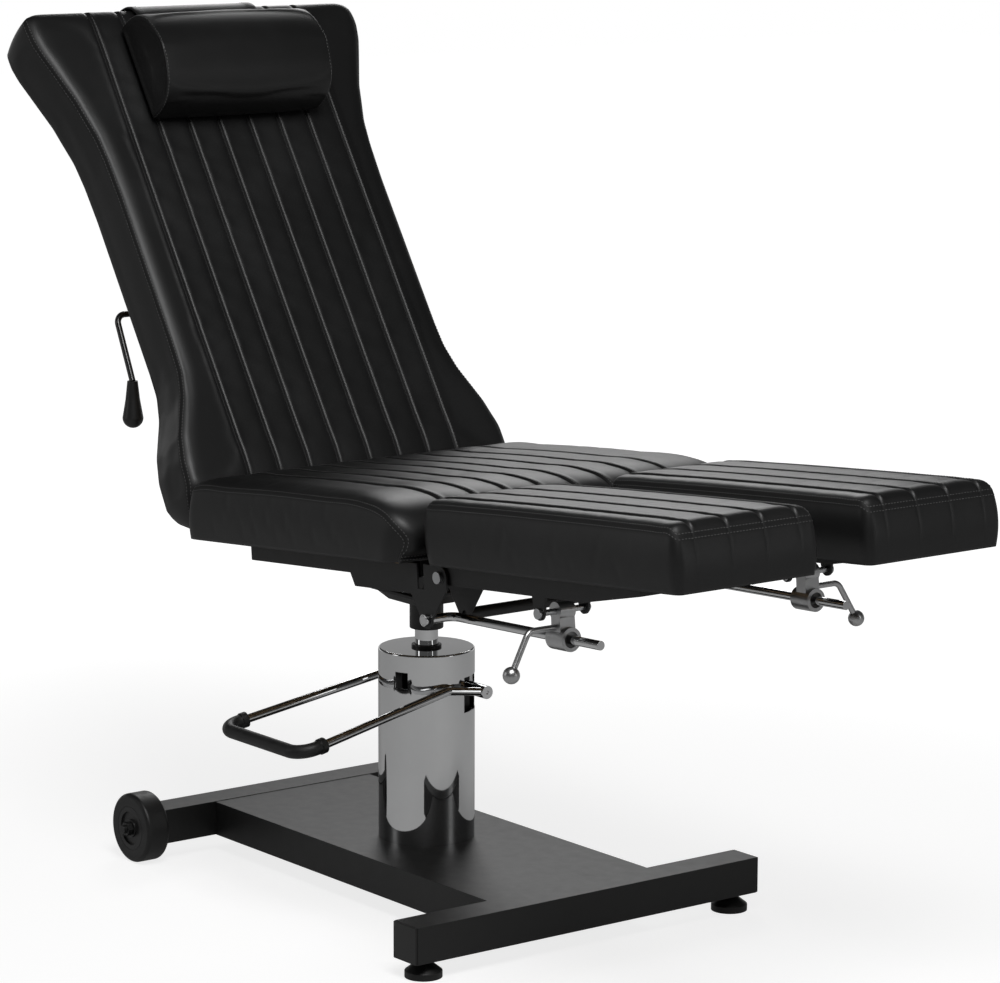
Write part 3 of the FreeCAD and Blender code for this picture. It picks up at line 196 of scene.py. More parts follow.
# Finishes
def leatherette(tree, place):
    """Black synthetic leather: fine pebbled grain, faint handling marks, a soft sheen and painted shade along
    the seam lines.
    """
    patches = noise_at(tree, place, 7.0, 4, 0.6)
    grain = tree.node("ShaderNodeTexVoronoi", {"feature": "SMOOTH_F1"}, {"Vector": place, "Scale": 1100.0})
    fine = noise_at(tree, place, 420.0, 2)
    creases = noise_at(tree, place, 60.0, 5, 0.65)
    height = grain * 0.6 + fine * 0.4
    relief = bump(tree, height, 0.00005, 0.35)
    relief = bump(tree, creases, 0.0006, 0.10, relief)
    seam = tree.node("ShaderNodeAttribute", {"attribute_name": "seam"}, output="Fac")
    leather = tree.colour(patches.ramp(0.42, 0.72), grey(0.0060, -0.01), grey(0.0105, -0.01))
    # The seam mask paints near-black shade into the colour along the seam grooves; it also roughens them.
    return {"Base Color": tree.colour(seam, leather, grey(0.0012)),
            "Roughness": 0.37 + patches * 0.09 + fine * 0.05 + seam * 0.3,
            "Normal": relief}


def seam_thread(tree, place):
    twist = noise_at(tree, place, 900.0, 2)
    return {"Base Color": tree.colour(twist, grey(0.07), grey(0.13)), "Roughness": 0.45 + twist * 0.15,
            "Normal": bump(tree, twist, 0.0001, 0.5)}


def powder_coat(tree, place):
    """Satin black powder coat with its faint orange peel and a few rubbed places."""
    peel = noise_at(tree, place, 520.0, 2)
    wave = noise_at(tree, place, 55.0, 3)
    rubbed = noise_at(tree, place, 11.0, 6, 0.7).ramp(0.60, 0.78)
    return {"Base Color": tree.colour(rubbed, grey(0.0125), grey(0.018)),
            "Roughness": 0.40 + wave * 0.10 + rubbed * 0.06,
            "Normal": bump(tree, peel, 0.00008, 0.4, bump(tree, wave, 0.0004, 0.15))}


def chrome(tree, place):
    haze = noise_at(tree, place, 24.0, 5, 0.6)
    fine = noise_at(tree, place, 600.0, 2)
    return {"Base Color": tree.colour(haze, grey(0.72, -0.008), grey(0.80, -0.004)), "Metallic": 1.0,
            "Roughness": 0.03 + haze.ramp(0.5, 0.8) * 0.05,
            "Normal": bump(tree, fine, 0.00002, 0.05)}


def zinc(tree, place):
    crystal = tree.node("ShaderNodeTexVoronoi", {}, {"Vector": place, "Scale": 500.0})
    stain = noise_at(tree, place, 70.0, 4)
    return {"Base Color": tree.colour(stain, grey(0.50, -0.02), grey(0.66, -0.01)), "Metallic": 1.0,
            "Roughness": 0.24 + stain * 0.16, "Normal": bump(tree, crystal, 0.00005, 0.12)}


def cast_satin(tree, place):
    """Die-cast alloy, barrel polished."""
    skin = noise_at(tree, place, 300.0, 4, 0.6)
    shade = noise_at(tree, place, 40.0, 3)
    return {"Base Color": tree.colour(shade, grey(0.48, -0.01), grey(0.60)), "Metallic": 1.0,
            "Roughness": 0.26 + skin * 0.14, "Normal": bump(tree, skin, 0.0001, 0.25)}


def pump_iron(tree, place):
    sand = noise_at(tree, place, 260.0, 5, 0.7)
    return {"Base Color": tree.colour(sand, grey(0.03), grey(0.06)), "Metallic": 0.3,
            "Roughness": 0.5 + sand * 0.2, "Normal": bump(tree, sand, 0.0003, 0.5)}


def black_lacquer(tree, place):
    drift = noise_at(tree, place, 45.0, 3)
    return {"Base Color": grey(0.012), "Roughness": 0.2 + drift * 0.12, "Coat Weight": 0.3,
            "Normal": bump(tree, drift, 0.0002, 0.1)}


def black_rubber(tree, place):
    pores = noise_at(tree, place, 700.0, 3)
    dust = noise_at(tree, place, 30.0, 5, 0.65).ramp(0.45, 0.8)
    return {"Base Color": tree.colour(dust, grey(0.009), grey(0.016)),
            "Roughness": 0.42 + dust * 0.18 + pores * 0.06, "Normal": bump(tree, pores, 0.0001, 0.35)}


def black_plastic(tree, place):
    """Moulded plastic with a fine spark texture."""
    spark = noise_at(tree, place, 850.0, 2)
    flow = noise_at(tree, place, 20.0, 3)
    return {"Base Color": tree.colour(flow, grey(0.010), grey(0.014)), "Roughness": 0.34 + flow * 0.12,
            "Normal": bump(tree, spark, 0.00008, 0.3)}


def plywood(tree, place):
    """Birch plywood: long rotary grain on the faces, plies on the edges."""
    long_way = tree.node("ShaderNodeMapping", {}, {"Vector": place, "Scale": (3.0, 40.0, 40.0)})
    grain = tree.node("ShaderNodeTexNoise", {}, {"Vector": long_way, "Scale": 4.0, "Detail": 6,
                                                 "Distortion": 0.6})
    pores = noise_at(tree, long_way, 40.0, 3)
    return {"Base Color": tree.colour(grain, (0.42, 0.27, 0.14, 1), (0.58, 0.42, 0.25, 1)),
            "Roughness": 0.6 + pores * 0.15, "Normal": bump(tree, grain + pores * 0.5, 0.0004, 0.3)}


FINISHES = {
    "leatherette": leatherette, "seam_thread": seam_thread, "black_frame": powder_coat, "chrome": chrome,
    "zinc": zinc, "cast_satin": cast_satin, "pump_iron": pump_iron, "spring_black": black_lacquer,
    "black_rubber": black_rubber, "black_plastic": black_plastic, "plywood": plywood,
}
materials = {name: finish_surface(name, make) for name, make in FINISHES.items()}


def new_object(name, points, edges=(), faces=()):
    mesh = bpy.data.meshes.new(name)
    mesh.from_pydata(points, edges, faces)
    made = bpy.data.objects.new(name, mesh)
    scene.collection.objects.link(made)
    return made


# Floor, backdrop and light. Lengths in metres
FLOOR_HALF = 14.0
FLOOR_GREY = 0.32
# How brightly the floor glows where something mirrors it: a painted reflection
FLOOR_GLINT = 0.16
LAMP_AIM = Vector((0.0, 0.0, 0.6))
# Each lamp's place, width, height and watts
LAMPS = {
    "key_lamp": ((1.7, -0.9, 3.2), 1.5, 1.5, 66),
    "left_lamp": ((-1.9, -3.4, 1.7), 0.9, 2.0, 9),
    "right_lamp": ((3.6, 1.6, 1.5), 0.7, 2.0, 7),
    "rear_lamp": ((-3.0, 2.4, 2.6), 1.6, 1.2, 30),
}


def white_floor():
    """A pale floor that glows for the camera, fully away from the chair and less near it, which paints a
    dimmer floor around the chair, and glows dimly where something mirrors it, a painted reflection.
    """
    material = bpy.data.materials.new("studio_floor")
    material.use_nodes = True
    tree = Tree(material.node_tree)
    path = tree.node("ShaderNodeLightPath", output="Is Camera Ray")
    mirrored = (path["Is Glossy Ray"] + path["Is Transmission Ray"]).clamp()
    spot = tree.node("ShaderNodeTexCoord", output="Object")
    reach = tree.node("ShaderNodeVectorMath", {"operation": "LENGTH"}, {0: spot}, "Value")
    paper = tree.node("ShaderNodeBsdfDiffuse", {}, {"Color": grey(FLOOR_GREY)})
    # Painted light: the camera sees the floor glow at 0.8 within 0.7 m of the chair, rising to 1.0 by 2.4 m,
    # a painted dimming around the chair. Glossy and transmission rays see a painted glow of FLOOR_GLINT.
    painted_floor_glow = path * reach.ramp(0.7, 2.4, 0.80, 1.0)
    shine = painted_floor_glow + mirrored * FLOOR_GLINT
    glow = tree.node("ShaderNodeEmission", {}, {"Color": grey(1.0), "Strength": shine})
    both = tree.node("ShaderNodeAddShader", {}, {0: paper, 1: glow})
    tree.node("ShaderNodeOutputMaterial", {}, {"Surface": both})
    corners = [(x * FLOOR_HALF, y * FLOOR_HALF, 0) for x, y in ((-1, -1), (1, -1), (1, 1), (-1, 1))]
    floor = new_object("studio_floor", corners, faces=[(0, 1, 2, 3)])
    floor.data.materials.append(material)


def studio_walls():
    """White to the camera. The chrome mirrors a dark room with a pale low band behind the chair."""
    world = bpy.data.worlds.new("studio")
    world.use_nodes = True
    scene.world = world
    tree = Tree(world.node_tree)
    direction = tree.node("ShaderNodeTexCoord", output="Generated")
    upward = tree.node("ShaderNodeSeparateXYZ", {}, {0: direction}, "Z")
    low = upward.ramp(0.05, 0.30, 1.0, 0.0)
    behind = (upward["Y"] * 0.6 - upward["X"] * 0.78).ramp(0.3, 0.9, 0.12, 1.0)
    walls = 0.05 + low * behind * 0.85
    camera_ray = tree.node("ShaderNodeLightPath", output="Is Camera Ray")
    sky = tree.colour(camera_ray, tree.node("ShaderNodeCombineColor", {}, {0: walls, 1: walls, 2: walls}),
                      grey(1.0))
    tree.node("ShaderNodeOutputWorld", {}, {"Surface": tree.node("ShaderNodeBackground", {}, {"Color": sky})})


def soft_lamps():
    for name, (place, width, height, watts) in LAMPS.items():
        data = bpy.data.lights.new(name, "AREA")
        data.shape = "RECTANGLE"
        data.size, data.size_y, data.energy = width, height, watts
        lamp = bpy.data.objects.new(name, data)
        scene.collection.objects.link(lamp)
        lamp.location = place
        lamp.rotation_euler = (LAMP_AIM - Vector(place)).to_track_quat("-Z", "Y").to_euler()
    scene.view_settings.view_transform = "Standard"


# Geometry trees
def geometry_tree(name, extra_inputs):
    """An empty geometry tree, what fills it, and the value of its inputs."""
    group = bpy.data.node_groups.new(name, "GeometryNodeTree")
    group.interface.new_socket("Geometry", in_out="INPUT", socket_type="NodeSocketGeometry")
    for socket, kind in extra_inputs.items():
        group.interface.new_socket(socket, in_out="INPUT", socket_type=kind)
    group.interface.new_socket("Geometry", in_out="OUTPUT", socket_type="NodeSocketGeometry")
    tree = Tree(group)
    return group, tree, tree.node("NodeGroupInput")


def input_names(group):
    """The modifier's own name of each input of a geometry tree."""
    return {item.name: item.identifier for item in group.interface.items_tree if item.in_out == "INPUT"}


# Rigid pieces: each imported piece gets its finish, and its edges are eased as on the real metal
def smooth_by_angle():
    """A tree that keeps edges sharper than its angle and smooths the rest."""
    group, tree, given = geometry_tree("smooth_by_angle", {"Angle": "NodeSocketFloat"})
    turn = tree.node("GeometryNodeInputMeshEdgeAngle", output="Unsigned Angle")
    gentle = tree.node("FunctionNodeCompare", {"operation": "LESS_THAN"}, {0: turn, 1: given["Angle"]})
    faces = tree.node("GeometryNodeSetShadeSmooth", {}, {"Geometry": given})
    edges = tree.node("GeometryNodeSetShadeSmooth", {"domain": "EDGE"},
                      {"Geometry": faces, "Shade Smooth": gentle})
    tree.node("NodeGroupOutput", {}, {0: edges})
    return group


SMOOTHING = smooth_by_angle()
WELD_DISTANCE = 0.00002
FLAT_ANGLE, KEEP_ANGLE, EASED_ANGLE = (math.radians(degrees) for degrees in (0.3, 32, 40))
# Edge rounding of each finish, in millimetres, and of some single nodes
EASED_EDGE = {"black_frame": 1.2, "zinc": 0.4, "cast_satin": 1.4, "pump_iron": 1.0, "black_rubber": 0.6,
              "black_plastic": 0.8, "chrome": 0.5, "plywood": 0.6, "spring_black": 0.6}
EASED_NODE = {"front_rail": 2.2, "rear_rail": 2.2, "rail_caps": 1.4, "base_tray": 1.6, "hinge_plates": 0.6,
              "seat_cross_tubes": 1.6, "seat_side_tubes": 1.6, "back_frame": 1.6, "release_lever": 0.0,
              "lever_grip": 0.8}
SOFT = ["seat_cushion", "back_cushion", "leg_cushion_right", "leg_cushion_left", "head_pillow", "pillow_band"]


def ease(piece, width):
    """Joins the loose triangles, rounds the sharp edges and smooths the rest."""
    weld = piece.modifiers.new("join", "WELD")
    weld.merge_threshold = WELD_DISTANCE
    if width:
        plain = piece.modifiers.new("plain_faces", "DECIMATE")
        plain.decimate_type, plain.angle_limit = "DISSOLVE", FLAT_ANGLE
        bevel = piece.modifiers.new("ease", "BEVEL")
        bevel.width, bevel.segments = width * MM, 2
        bevel.limit_method, bevel.angle_limit = "ANGLE", EASED_ANGLE
    smoothing = piece.modifiers.new("smooth", "NODES")
    smoothing.node_group = SMOOTHING
    smoothing[input_names(SMOOTHING)["Angle"]] = KEEP_ANGLE
    flat = piece.modifiers.new("flat_faces", "WEIGHTED_NORMAL")
    flat.keep_sharp = True


def dress_pieces():
    """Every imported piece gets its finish. The soft ones get covers of their own later."""
    for part in frame["record"]["subparts"]:
        name, finish = part["node"], part["material_slot"]
        nodes[name].data.materials.clear()
        nodes[name].data.materials.append(materials[finish])
        if name not in SOFT:
            ease(nodes[name], EASED_NODE.get(name, EASED_EDGE[finish]))


# Cushions. Each is drawn in its own directions, in millimetres: a along its length, y across it and h out
# of its face, and a place function takes that to the chair.
GRID = 9.0
CHANNEL_GRID = 1.4 * GRID
NARROWEST = 6.0
LEAST_COLUMNS = 3
WALL_ROWS = 9
# Across a seam: how far from it each column of points lies, and how high the leather stands there. On one
# side the allowance folded under it makes a low ridge, which carries the stitches.
SEAM_PLACES = (-9.0, -4.0, -1.2, 0.0, 1.2, 2.8, 5.8, 8.8, 14.0)
SEAM_HEIGHTS = (0.0, -0.4, -1.5, -2.6, -1.0, 0.7, 0.9, 0.0, 0.0)
FOLD_COLUMN = 3
# The padding over the piping, the crown of a channel between its seams, how long before the cushion's ends
# the crown fades out, and the share of a seam's depth that is left at the piping
PADDING_RISE = 9.0
CHANNEL_CROWN = 2.4
CROWN_FADE = 60
SEAM_AT_EDGE = 0.25


def spread(start, end, step):
    """Evenly spaced numbers from start to end, about a step apart, without the last."""
    count = max(1, round(abs(end - start) / step))
    return [start + (end - start) * i / count for i in range(count)]


def smooth_line(points, step):
    """Points about a step apart along a smooth curve through the given ones, ends included."""
    given = np.array(points, float)
    runs = np.linalg.norm(np.diff(given, axis=0), axis=1)
    lengths = np.concatenate([[0], np.cumsum(runs)])
    slopes = np.gradient(given, lengths, axis=0)
    made = []
    for i, run in enumerate(runs):
        for t in spread(0.0, 1.0, step / run):
            made.append((2 * t ** 3 - 3 * t ** 2 + 1) * given[i] + (t ** 3 - 2 * t ** 2 + t) * run * slopes[i]
                        + (3 * t ** 2 - 2 * t ** 3) * given[i + 1] + (t ** 3 - t ** 2) * run * slopes[i + 1])
    return np.array(made + [given[-1]])


def right_angle_to(directions):
    """For each direction in a plane, the one at a right angle to it, of unit length."""
    turned = np.stack([directions[:, 1], -directions[:, 0]], 1)
    return turned / np.linalg.norm(turned, axis=1)[:, None]


def quarter_round(share):
    """Rises from 0 at an edge to 1 a full share away, as a quarter of a circle."""
    t = min(max(share, 0.0), 1.0)
    return math.sqrt(1 - (1 - t) ** 2)


class Cushion:
    """A boxed cushion as one mesh: a channelled face and a wall all round, still open underneath."""

    def __init__(self, place, path, sides, seams, rise, base, pull_in, bulge):
        """path: (a, h, foot) down the middle of the face at the level of the piping, and where the wall
        from there meets the underside, which is at the height base and drawn in across by the share
        pull_in. sides(a): the face's two edges. rise(from_rear, to_front, y, low, high): the padding's
        height over the piping. bulge: how far the wall stands out at its middle."""
        self.place, self.seams = place, seams
        self.points, self.faces = [], []
        path = smooth_line(path, GRID)
        limits = [sides(a) for a in path[:, 0]]
        columns = self._columns(limits)
        self._face(path, limits, columns, rise)
        rows, wide = self.face_grid.shape
        border = [(i, 0) for i in range(rows)] + [(rows - 1, j) for j in range(1, wide)]
        border += [(i, wide - 1) for i in range(rows - 2, -1, -1)] + [(0, j) for j in range(wide - 2, 0, -1)]
        self.rim = [int(self.face_grid[i, j]) for i, j in border]
        centre = (limits[rows // 2][0] + limits[rows // 2][1]) / 2
        feet = np.array([(path[i][2], centre + (columns[i][j] - centre) * (1 - pull_in)) for i, j in border])
        self._wall(feet, base, bulge)
        grid = self.face_grid
        for i in range(rows - 1):
            for j in range(wide - 1):
                self.faces.append((grid[i, j], grid[i + 1, j], grid[i + 1, j + 1], grid[i, j + 1]))

    def _add(self, a, y, h):
        self.points.append((float(a), float(y), float(h)))
        return len(self.points) - 1

    def _columns(self, limits):
        """Across each row: points set close beside the seams and spread evenly elsewhere."""
        inside = []
        for near, far in zip(self.seams, self.seams[1:]):
            inside += [near + o for o in SEAM_PLACES if o >= 0]
            inside += spread(near + SEAM_PLACES[-1], far + SEAM_PLACES[0], CHANNEL_GRID)[1:]
            inside += [far + o for o in SEAM_PLACES if o < 0]
        inside = [self.seams[0] + o for o in SEAM_PLACES if o < 0] + inside
        inside += [self.seams[-1] + o for o in SEAM_PLACES if o >= 0]
        left_count = max(LEAST_COLUMNS, round(max(inside[0] - low for low, high in limits) / GRID))
        right_count = max(LEAST_COLUMNS, round(max(high - inside[-1] for low, high in limits) / GRID))
        columns = []
        for low, high in limits:
            first, last = max(inside[0], low + NARROWEST), min(inside[-1], high - NARROWEST)
            stretch = (last - first) / (inside[-1] - inside[0])
            left = [low + (first - low) * i / left_count for i in range(left_count)]
            middle = [first + (y - inside[0]) * stretch for y in inside]
            right = [last + (high - last) * (i + 1) / right_count for i in range(right_count)]
            columns.append(left + middle + right)
        self.seam_columns = [left_count + inside.index(seam) for seam in self.seams]
        return columns

    def _face(self, path, limits, columns, rise):
        """The points of the face, padded out from the path."""
        normals = -right_angle_to(np.gradient(path[:, :2], axis=0))
        lengths = np.concatenate([[0], np.cumsum(np.linalg.norm(np.diff(path[:, :2], axis=0), axis=1))])
        self.face_grid = np.zeros((len(path), len(columns[0])), int)
        for i, (step, normal) in enumerate(zip(path, normals)):
            for j, y in enumerate(columns[i]):
                up = rise(lengths[i], lengths[-1] - lengths[i], y, *limits[i])
                self.face_grid[i, j] = self._add(step[0] + normal[0] * up, y, step[1] + normal[1] * up)

    def _wall(self, feet, base, bulge):
        """Rows of points from the rim down to the feet, and the faces between them."""
        outward = right_angle_to(np.roll(feet, -1, 0) - np.roll(feet, 1, 0))
        if (outward * (feet - feet.mean(0))).sum() < 0:
            outward = -outward
        self.loops = [self.rim]
        for k in range(1, WALL_ROWS + 1):
            t = k / WALL_ROWS
            out = bulge * 4 * t * (1 - t)
            loop = []
            for vertex, foot, away in zip(self.rim, feet, outward):
                a, y, h = self.points[vertex]
                loop.append(self._add(a + (foot[0] - a) * t + away[0] * out,
                                      y + (foot[1] - y) * t + away[1] * out, h + (base - h) * t))
            self.loops.append(loop)
        count = len(self.rim)
        for upper, lower in zip(self.loops, self.loops[1:]):
            for n in range(count):
                self.faces.append((upper[n], lower[n], lower[(n + 1) % count], upper[(n + 1) % count]))

    def piece(self, name):
        faces = [tuple(int(v) for v in face) for face in self.faces]
        return new_object(name, [self.place(a, h, y) for a, y, h in self.points], faces=faces)


def channel_rise(seams, side_reach, rear_reach, front_reach):
    """The padding's height over the piping: nearly flat sewn channels inside a rounded edge all round."""
    def rise(from_rear, to_front, y, low, high):
        edge = quarter_round((y - low) / side_reach) * quarter_round((high - y) / side_reach)
        edge *= quarter_round(from_rear / rear_reach) * quarter_round(to_front / front_reach)
        ends = min(1.0, from_rear / CROWN_FADE, to_front / CROWN_FADE)
        level = PADDING_RISE * edge
        nearest = min(seams, key=lambda seam: abs(y - seam))
        level += float(np.interp(y - nearest, SEAM_PLACES, SEAM_HEIGHTS)) * min(1.0, SEAM_AT_EDGE + edge)
        for near, far in zip(seams, seams[1:]):
            if near < y < far:
                t = 2 * (y - near) / (far - near) - 1
                level += CHANNEL_CROWN * (1 - t * t) * ends * edge
        return level
    return rise


FILLING_FRAMES = 20
SWELL_LIMIT = 1.5


def inflate(piece, held, pressure, slack):
    """Blows the cover up like a filled cushion, held at its seams, and limits how far it may move."""
    group = piece.vertex_groups.new(name="held")
    group.add([int(v) for v in held], 1.0, "REPLACE")
    start = np.array([v.co for v in piece.data.vertices])
    cloth = piece.modifiers.new("filling", "CLOTH")
    settings = cloth.settings
    settings.quality = 6
    settings.mass = 0.35
    settings.tension_stiffness = settings.compression_stiffness = 20
    settings.shear_stiffness = 8
    settings.bending_stiffness = 4.0
    settings.air_damping = 2.0
    settings.use_pressure = True
    settings.uniform_pressure_force = pressure
    settings.shrink_min = -slack
    settings.vertex_group_mass = "held"
    settings.effector_weights.gravity = 0
    cloth.collision_settings.use_collision = False
    cloth.point_cache.frame_start, cloth.point_cache.frame_end = 1, FILLING_FRAMES
    for number in range(1, FILLING_FRAMES + 1):
        scene.frame_set(number)
    posed = piece.evaluated_get(bpy.context.evaluated_depsgraph_get())
    moved = np.array([v.co for v in posed.data.vertices]) - start
    length = np.linalg.norm(moved, axis=1)
    limit = SWELL_LIMIT * MM
    moved *= np.where(length > limit, limit / np.maximum(length, 1e-9), 1.0)[:, None]
    piece.modifiers.remove(cloth)
    piece.vertex_groups.clear()
    piece.data.vertices.foreach_set("co", (start + moved).ravel())
    piece.data.update()
    scene.frame_set(1)


SEAM_CREASE = 0.9


def crease(piece, lines):
    """Keeps these lines of vertices sharp when the cover is subdivided."""
    wanted = {tuple(sorted(pair)) for line in lines for pair in zip(line, line[1:])}
    attribute = piece.data.attributes.new("crease_edge", "FLOAT", "EDGE")
    for edge in piece.data.edges:
        if tuple(sorted(edge.vertices)) in wanted:
            attribute.data[edge.index].value = SEAM_CREASE


def finish_cover(piece, seam_lines):
    """Marks the seam lines, subdivides once, closes the underside and gives the leather."""
    crease(piece, seam_lines)
    # This mask marks the seam vertices, where the leatherette paints shade into its colour.
    mask = piece.data.attributes.new("seam", "FLOAT", "POINT")
    for vertex in {vertex for line in seam_lines for vertex in line}:
        mask.data[vertex].value = 1.0
    finer = piece.modifiers.new("finer", "SUBSURF")
    finer.levels = finer.render_levels = 1
    posed = piece.evaluated_get(bpy.context.evaluated_depsgraph_get())
    mesh = bpy.data.meshes.new_from_object(posed)
    piece.modifiers.clear()
    piece.data = mesh
    work = bmesh.new()
    work.from_mesh(mesh)
    bmesh.ops.holes_fill(work, edges=[edge for edge in work.edges if edge.is_boundary], sides=0)
    bmesh.ops.recalc_face_normals(work, faces=work.faces)
    work.to_mesh(mesh)
    work.free()
    # The filled underside is the one face with more than four corners, and it stays flat
    mesh.polygons.foreach_set("use_smooth", [len(polygon.vertices) < 5 for polygon in mesh.polygons])
    mesh.materials.clear()
    mesh.materials.append(materials["leatherette"])


# How deep the gathers are, and which columns beside a seam they run in
GATHER_DEPTH = 0.5
GATHER_COLUMNS = (-2, 4)
GATHER_BLUR = (0.25, 0.5, 0.25)


def pucker(cushion, piece, seed):
    """Small gathers beside the seams, where the thread draws the leather in."""
    rng = np.random.default_rng(seed)
    mesh = piece.data
    normals = [vertex.normal.copy() for vertex in mesh.vertices]
    rows = len(cushion.face_grid)
    for column in cushion.seam_columns:
        drift = rng.normal(0, 1, rows)
        drift = np.convolve(drift, GATHER_BLUR, "same")
        for side in GATHER_COLUMNS:
            for i in range(1, rows - 1):
                number = int(cushion.face_grid[i, column + side])
                mesh.vertices[number].co -= normals[number] * abs(drift[i]) * GATHER_DEPTH * MM


# Stitches: one small thread shape repeated along the seams, in millimetres
STITCH_LENGTH, STITCH_GAP, THREAD_RADIUS = 3.2, 1.8, 0.55
THREAD_FLATNESS, THREAD_LIFT = 0.8, 0.15
FROM_SEAM, FROM_PIPING, FROM_PILLOW_SEAM = 4.4, 3.6, 3.0


def stitch_shape():
    work = bmesh.new()
    bmesh.ops.create_uvsphere(work, u_segments=6, v_segments=4, radius=1.0)
    for vertex in work.verts:
        x, y, z = vertex.co
        vertex.co = (z * STITCH_LENGTH / 2 * MM, x * THREAD_RADIUS * MM,
                     y * THREAD_RADIUS * THREAD_FLATNESS * MM)
    mesh = bpy.data.meshes.new("stitch_shape")
    work.to_mesh(mesh)
    work.free()
    return bpy.data.objects.new("stitch_shape", mesh)


def stitch_tree():
    """Puts a stitch every step along the lines, flat on the cover under them."""
    group, tree, given = geometry_tree("stitching", {"Step": "NodeSocketFloat", "Stitch": "NodeSocketObject",
                                                     "Thread": "NodeSocketMaterial"})
    line = tree.node("GeometryNodeMeshToCurve", {}, {"Mesh": given})
    even = tree.node("GeometryNodeResampleCurve", {"mode": "LENGTH"},
                     {"Curve": line, "Length": given["Step"]})
    normal = tree.node("GeometryNodeInputNamedAttribute", {"data_type": "FLOAT_VECTOR"},
                       {"Name": "cover_normal"})
    along = tree.node("FunctionNodeAlignRotationToVector", {"axis": "X"},
                      {"Vector": tree.node("GeometryNodeInputTangent")})
    flat = tree.node("FunctionNodeAlignRotationToVector", {"axis": "Z", "pivot_axis": "X"},
                     {"Rotation": along, "Vector": normal})
    shape = tree.node("GeometryNodeObjectInfo", {}, {"Object": given["Stitch"]}, "Geometry")
    placed = tree.node("GeometryNodeInstanceOnPoints", {},
                       {"Points": even, "Instance": shape, "Rotation": flat})
    real = tree.node("GeometryNodeRealizeInstances", {}, {0: placed})
    painted = tree.node("GeometryNodeSetMaterial", {}, {"Geometry": real, "Material": given["Thread"]})
    tree.node("NodeGroupOutput", {}, {0: painted})
    return group


STITCHING = stitch_tree()
STITCH_SHAPE = stitch_shape()


def sew(name, body, lines, covers):
    """Real thread along these lines, laid on the covers."""
    surfaces = []
    for cover in covers:
        work = bmesh.new()
        work.from_mesh(cover.data)
        surfaces.append(BVHTree.FromBMesh(work))
        work.free()
    points, edges, normals = [], [], []
    for line in lines:
        for number, point in enumerate(line):
            hits = [surface.find_nearest(point) for surface in surfaces]
            place, normal, _, _ = min(hits, key=lambda hit: hit[3])
            points.append(place + normal * THREAD_LIFT * MM)
            normals.append(normal)
            if number:
                edges.append((len(points) - 2, len(points) - 1))
    piece = new_object(name, points, edges)
    attribute = piece.data.attributes.new("cover_normal", "FLOAT_VECTOR", "POINT")
    attribute.data.foreach_set("vector", np.array(normals, np.float32).ravel())
    sewing = piece.modifiers.new("sewing", "NODES")
    sewing.node_group = STITCHING
    sockets = input_names(STITCHING)
    sewing[sockets["Step"]] = (STITCH_LENGTH + STITCH_GAP) * MM
    sewing[sockets["Stitch"]] = STITCH_SHAPE
    sewing[sockets["Thread"]] = materials["seam_thread"]
    posed = piece.evaluated_get(bpy.context.evaluated_depsgraph_get())
    stitched = bpy.data.meshes.new_from_object(posed)
    piece.modifiers.clear()
    piece.data = stitched
    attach(piece, body)
    return piece


def beside(places, line, neighbours, distance):
    """Points this far from each vertex of a line, towards its neighbour."""
    return [places[a] + (places[b] - places[a]).normalized() * distance * MM
            for a, b in zip(line, neighbours)]


def stitch_lines(cushion, piece):
    """Where the thread runs: beside each seam, and on both sides of the edge seam."""
    places = [v.co.copy() for v in piece.data.vertices]
    grid = cushion.face_grid
    lines = []
    for column in cushion.seam_columns:
        seam = [int(v) for v in grid[2:-2, column]]
        fold = [int(v) for v in grid[2:-2, column + FOLD_COLUMN]]
        lines.append(beside(places, seam, fold, FROM_SEAM))
    rows, wide = grid.shape
    inner = {}
    for i in range(rows):
        for j in range(wide):
            inner[int(grid[i, j])] = int(grid[min(max(i, 1), rows - 2), min(max(j, 1), wide - 2)])
    rim = cushion.rim + cushion.rim[:1]
    wall = cushion.loops[1] + cushion.loops[1][:1]
    lines.append(beside(places, rim, [inner[v] for v in rim], FROM_PIPING))
    lines.append(beside(places, rim, wall, FROM_PIPING))
    return lines


# Seat, footrests and backrest, in millimetres
SEAT_SEAMS = (-191.0, -135.0, -81.0, -26.0, 26.0, 81.0, 135.0, 191.0)
BACK_SEAMS = (-180.0, -129.0, -77.5, -26.0, 26.0, 77.5, 129.0, 180.0)
LEG_SEAMS = (70.0, 125.0, 180.0, 235.0)
SEAT_PATH = [(-161.5, 63, -182.5), (-155, 71.5, -172), (-142, 74.8, -152), (-60, 77, -60), (60, 78.7, 60),
             (160, 77.8, 160), (251, 75.6, 240), (282, 70.5, 262), (305, 61, 281), (319, 47, 295),
             (325, 34, 304), (323.5, 20, 309), (318.5, 8, 312)]
BACK_PATH = [(-56, -66, -40), (-44, -50, -32), (-25, -27, -17), (-8, -13.5, -5), (12, -10, 14), (60, -10, 60),
             (300, -10, 300), (600, -10, 598), (690, -10, 686), (724, -11.5, 716), (740, -15.5, 728),
             (747, -21, 734)]
LEG_PATH = [(353.5, 71, 352), (358, 75.5, 357), (378, 77.5, 376), (450, 79, 450), (640, 79.8, 640),
            (760, 79.3, 758), (825, 78.5, 824), (850, 76.5, 852), (858, 71, 860)]
# Half the backrest's width at places up its length
BACK_HALVES = [(-57, 240), (-46, 262), (-30, 272), (-14, 277), (30, 275), (70, 265), (100, 252), (127, 240),
               (164, 230.5), (200, 229), (444, 229), (500, 231), (540, 235), (575, 244), (600, 250),
               (645, 267), (680, 280), (703, 285), (720, 285.5), (734, 284.5), (741, 280), (745, 270),
               (749, 240)]
